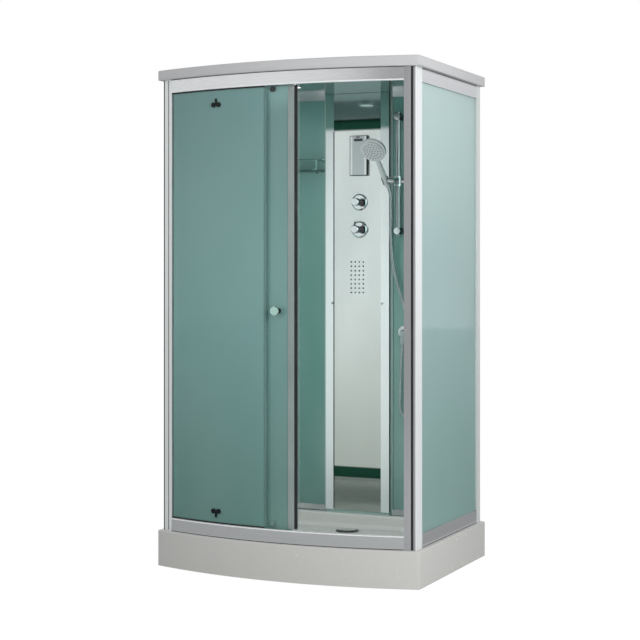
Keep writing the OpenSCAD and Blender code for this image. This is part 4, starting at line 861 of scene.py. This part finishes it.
# The strips' dark teal tops are painted shade.
painted_top_shade = strip.own("Z").between(1.895, 1.925)
strip_lines = strip.noise((1400, 1400, 2), 2.0)
strip_tone = strip.mix(strip_lines, colour(200, 207, 206), colour(210, 216, 216))
dress(strip.surface(Base_Color=strip.mix(painted_top_shade, strip_tone, colour(92, 128, 122)),
                    Metallic=0.3, Roughness=strip_lines * 0.05 + 0.3), "column_strips")

# Controls: a satin plastic panel with two paler ribbons, a black edge seal and a dark display window,
# two chrome plates on the valve's spindles with turned knobs, and a brass valve body with its pipes
# and the plastic jet box behind the column.
PANEL_X, PANEL_Z, PANEL_HALF_W, PANEL_HALF_H = 0.012, 1.7875, 0.0395, 0.0885
MARK_X, MARK_Z, MARK_HALF_W, MARK_HALF_H = 0.010, 1.8718, 0.0085, 0.0022
RIBBON_X = 0.0295
panel = Finish("panel_plastic")
panel_x, panel_z = panel.own("X"), panel.own("Z")
from_middle = (panel_x - PANEL_X).math("ABSOLUTE")
from_centre = (panel_z - PANEL_Z).math("ABSOLUTE")
side_edge = from_middle.between(PANEL_HALF_W, PANEL_HALF_W + 0.0005)
edge = side_edge.math("MAXIMUM", from_centre.between(PANEL_HALF_H, PANEL_HALF_H + 0.0005))
mark_across = (panel_x - MARK_X).math("ABSOLUTE").between(MARK_HALF_W, MARK_HALF_W + 0.0007)
mark_up = (panel_z - MARK_Z).math("ABSOLUTE").between(MARK_HALF_H, MARK_HALF_H + 0.0006)
mark = (1 - mark_across) * (1 - mark_up)
ribbon = from_middle.between(RIBBON_X, RIBBON_X + 0.0005) * (1 - edge)
panel_grain = panel.noise((260, 260, 260), 2.0)
plastic = panel.mix(ribbon, colour(150, 158, 158), colour(188, 194, 194))
dress(panel.surface(Base_Color=panel.mix(edge.math("MAXIMUM", mark), plastic, colour(24, 30, 30)),
                    Roughness=panel_grain * 0.06 + edge * 0.4 + 0.25,
                    Normal=panel.bump(panel_grain, 0.00002)), "control_panel")
dress(moulded("display", colour(22, 28, 30), rough=0.06, coat=0.5), "display_window")


def plated_with_shaded_sides(name, start, end, front=colour(226, 228, 230)):
    """A bright plated front whose sides between two depths are black, partly a sleeve and partly painted
    shade.
    """
    metal = Finish(name)
    black = metal.own("Y").band((start, start + 0.0006), (end, end + 0.0006))
    return metal.surface(Base_Color=metal.mix(black, front, colour(26, 30, 31)),
                         Metallic=1 - black * 0.6, Roughness=metal.smears() * 0.06 + 0.08)


# The black sides of the plates and knobs are partly sleeves and partly painted shade.
dress(plated_with_shaded_sides("plate_chrome", 0.4046, 0.409), "valve_plates")
dress(plated_with_shaded_sides("upper_knob_chrome", 0.3545, 0.4), "upper_knob")
dress(plated_with_shaded_sides("lower_knob_chrome", 0.3475, 0.4), "lower_knob")
dress(polished("brass", colour(186, 158, 100), rough=0.28, smudge=0.15), "valve_body")
dress(moulded("white_plastic", colour(220, 220, 216), rough=0.4), "jet_box")

# Shower set, shelf and door knobs: plated brass tube and turned fittings on black plastic sleeves,
# and a plated rail and brackets for the shelf. The black sides of the fittings and knobs are partly
# sleeve and partly painted shade. The hand shower and its face are satin grey plastic.
dress(polished("chromed_brass", colour(208, 210, 212), rough=0.06), "hose_outlet", "slider", "holder")
dress(polished("riser_chrome", colour(158, 164, 164), rough=0.1), "riser_rail")
dress(plated_with_shaded_sides("mount_chrome", 0.3665, 0.45), "rail_mounts")
dress(polished("shelf_chrome", colour(158, 192, 184), rough=0.1), "gallery_rail", "shelf_brackets")
dress(plated_with_shaded_sides("door_knob_chrome", -0.4415, -0.4, colour(192, 228, 217)), "door_knobs")
dress(moulded("satin_chrome", colour(156, 162, 162), rough=0.25, coat=0.6), "hand_shower")
dress(moulded("spray_plastic", colour(152, 158, 158), rough=0.3, coat=0.3), "spray_face")

# Nozzles: soft rubber tips that stand through the column's face and the spray face. Each has a round
# foot and a tapered tip. The column has 4 by 8 of them and the hand shower 37 in rings.
FOOT_SHARES, TIP_SHARES = (1.0, 0.9, 0.4), (0.62, 0.42, 1.0)


def nozzle_tree():
    """A soft nozzle on each point: a round foot with a tapered tip."""
    field, (points, radius, rise, material) = tree_of("nozzles", (
        ("Radius", "Float", 0.0045), ("Rise", "Float", 0.0025), ("Material", "Material", None)))
    both = field.node("GeometryNodeJoinGeometry")
    for low, high, size in (FOOT_SHARES, TIP_SHARES):
        part = field.node("GeometryNodeMeshCone", {},
                          {"Vertices": 16, "Radius Bottom": radius * low,
                           "Radius Top": radius * high, "Depth": rise * size})
        field.tree.links.new(part.socket, both.socket.node.inputs[0])
    placed = field.node("GeometryNodeInstanceOnPoints", {}, {"Points": points, "Instance": both})
    return finish_tree(field, placed, material)


jet_rubber = rubber("jet_rubber", colour(88, 92, 94), 0.45)
nozzle = nozzle_tree()
JET_Z, JET_PITCH, FACE_Y = 1.232, 0.020, 0.408
JET_COLUMNS, JET_ROWS = 4, 8
jet_seats = [((i - (JET_COLUMNS - 1) / 2) * JET_PITCH, (j - (JET_ROWS - 1) / 2) * JET_PITCH, 0)
             for i in range(JET_COLUMNS) for j in range(JET_ROWS)]
jets = run_tree("jets", points_object("jets", jet_seats), nozzle, {"Material": jet_rubber})
jets.data.transform(Matrix.Translation((0, FACE_Y, JET_Z)) @ Matrix.Rotation(math.pi / 2, 4, "X"))
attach(jets, "cabin")
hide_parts("jet_nozzles")
SPRAY_PITCH, SPRAY_RINGS = 0.0125, 3
HEAD_OUT, HEAD_TURN = 0.190, math.radians(90 - 7)
HEAD_HALF, FACE_GAP, FACE_DEPTH = 0.011, 0.0004, 0.006
spray_seats = [(0, 0, 0)]
for ring in range(1, SPRAY_RINGS + 1):
    around = [math.tau * k / (6 * ring) for k in range(6 * ring)]
    spray_seats += [(SPRAY_PITCH * ring * math.cos(a), SPRAY_PITCH * ring * math.sin(a), 0) for a in around]
spray = run_tree("spray_nozzles", points_object("spray_nozzles", spray_seats), nozzle,
                 {"Radius": 0.0032, "Rise": 0.0018, "Material": jet_rubber})
spray.data.transform(Matrix.Translation(HOLDER_PLACE) @ Matrix.Rotation(HAND_LEAN, 4, "X")
                     @ Matrix.Translation((0, 0, HEAD_OUT)) @ Matrix.Rotation(HEAD_TURN, 4, "X")
                     @ Matrix.Translation((0, 0, HEAD_HALF + FACE_GAP + FACE_DEPTH)))
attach(spray, "spray_face")
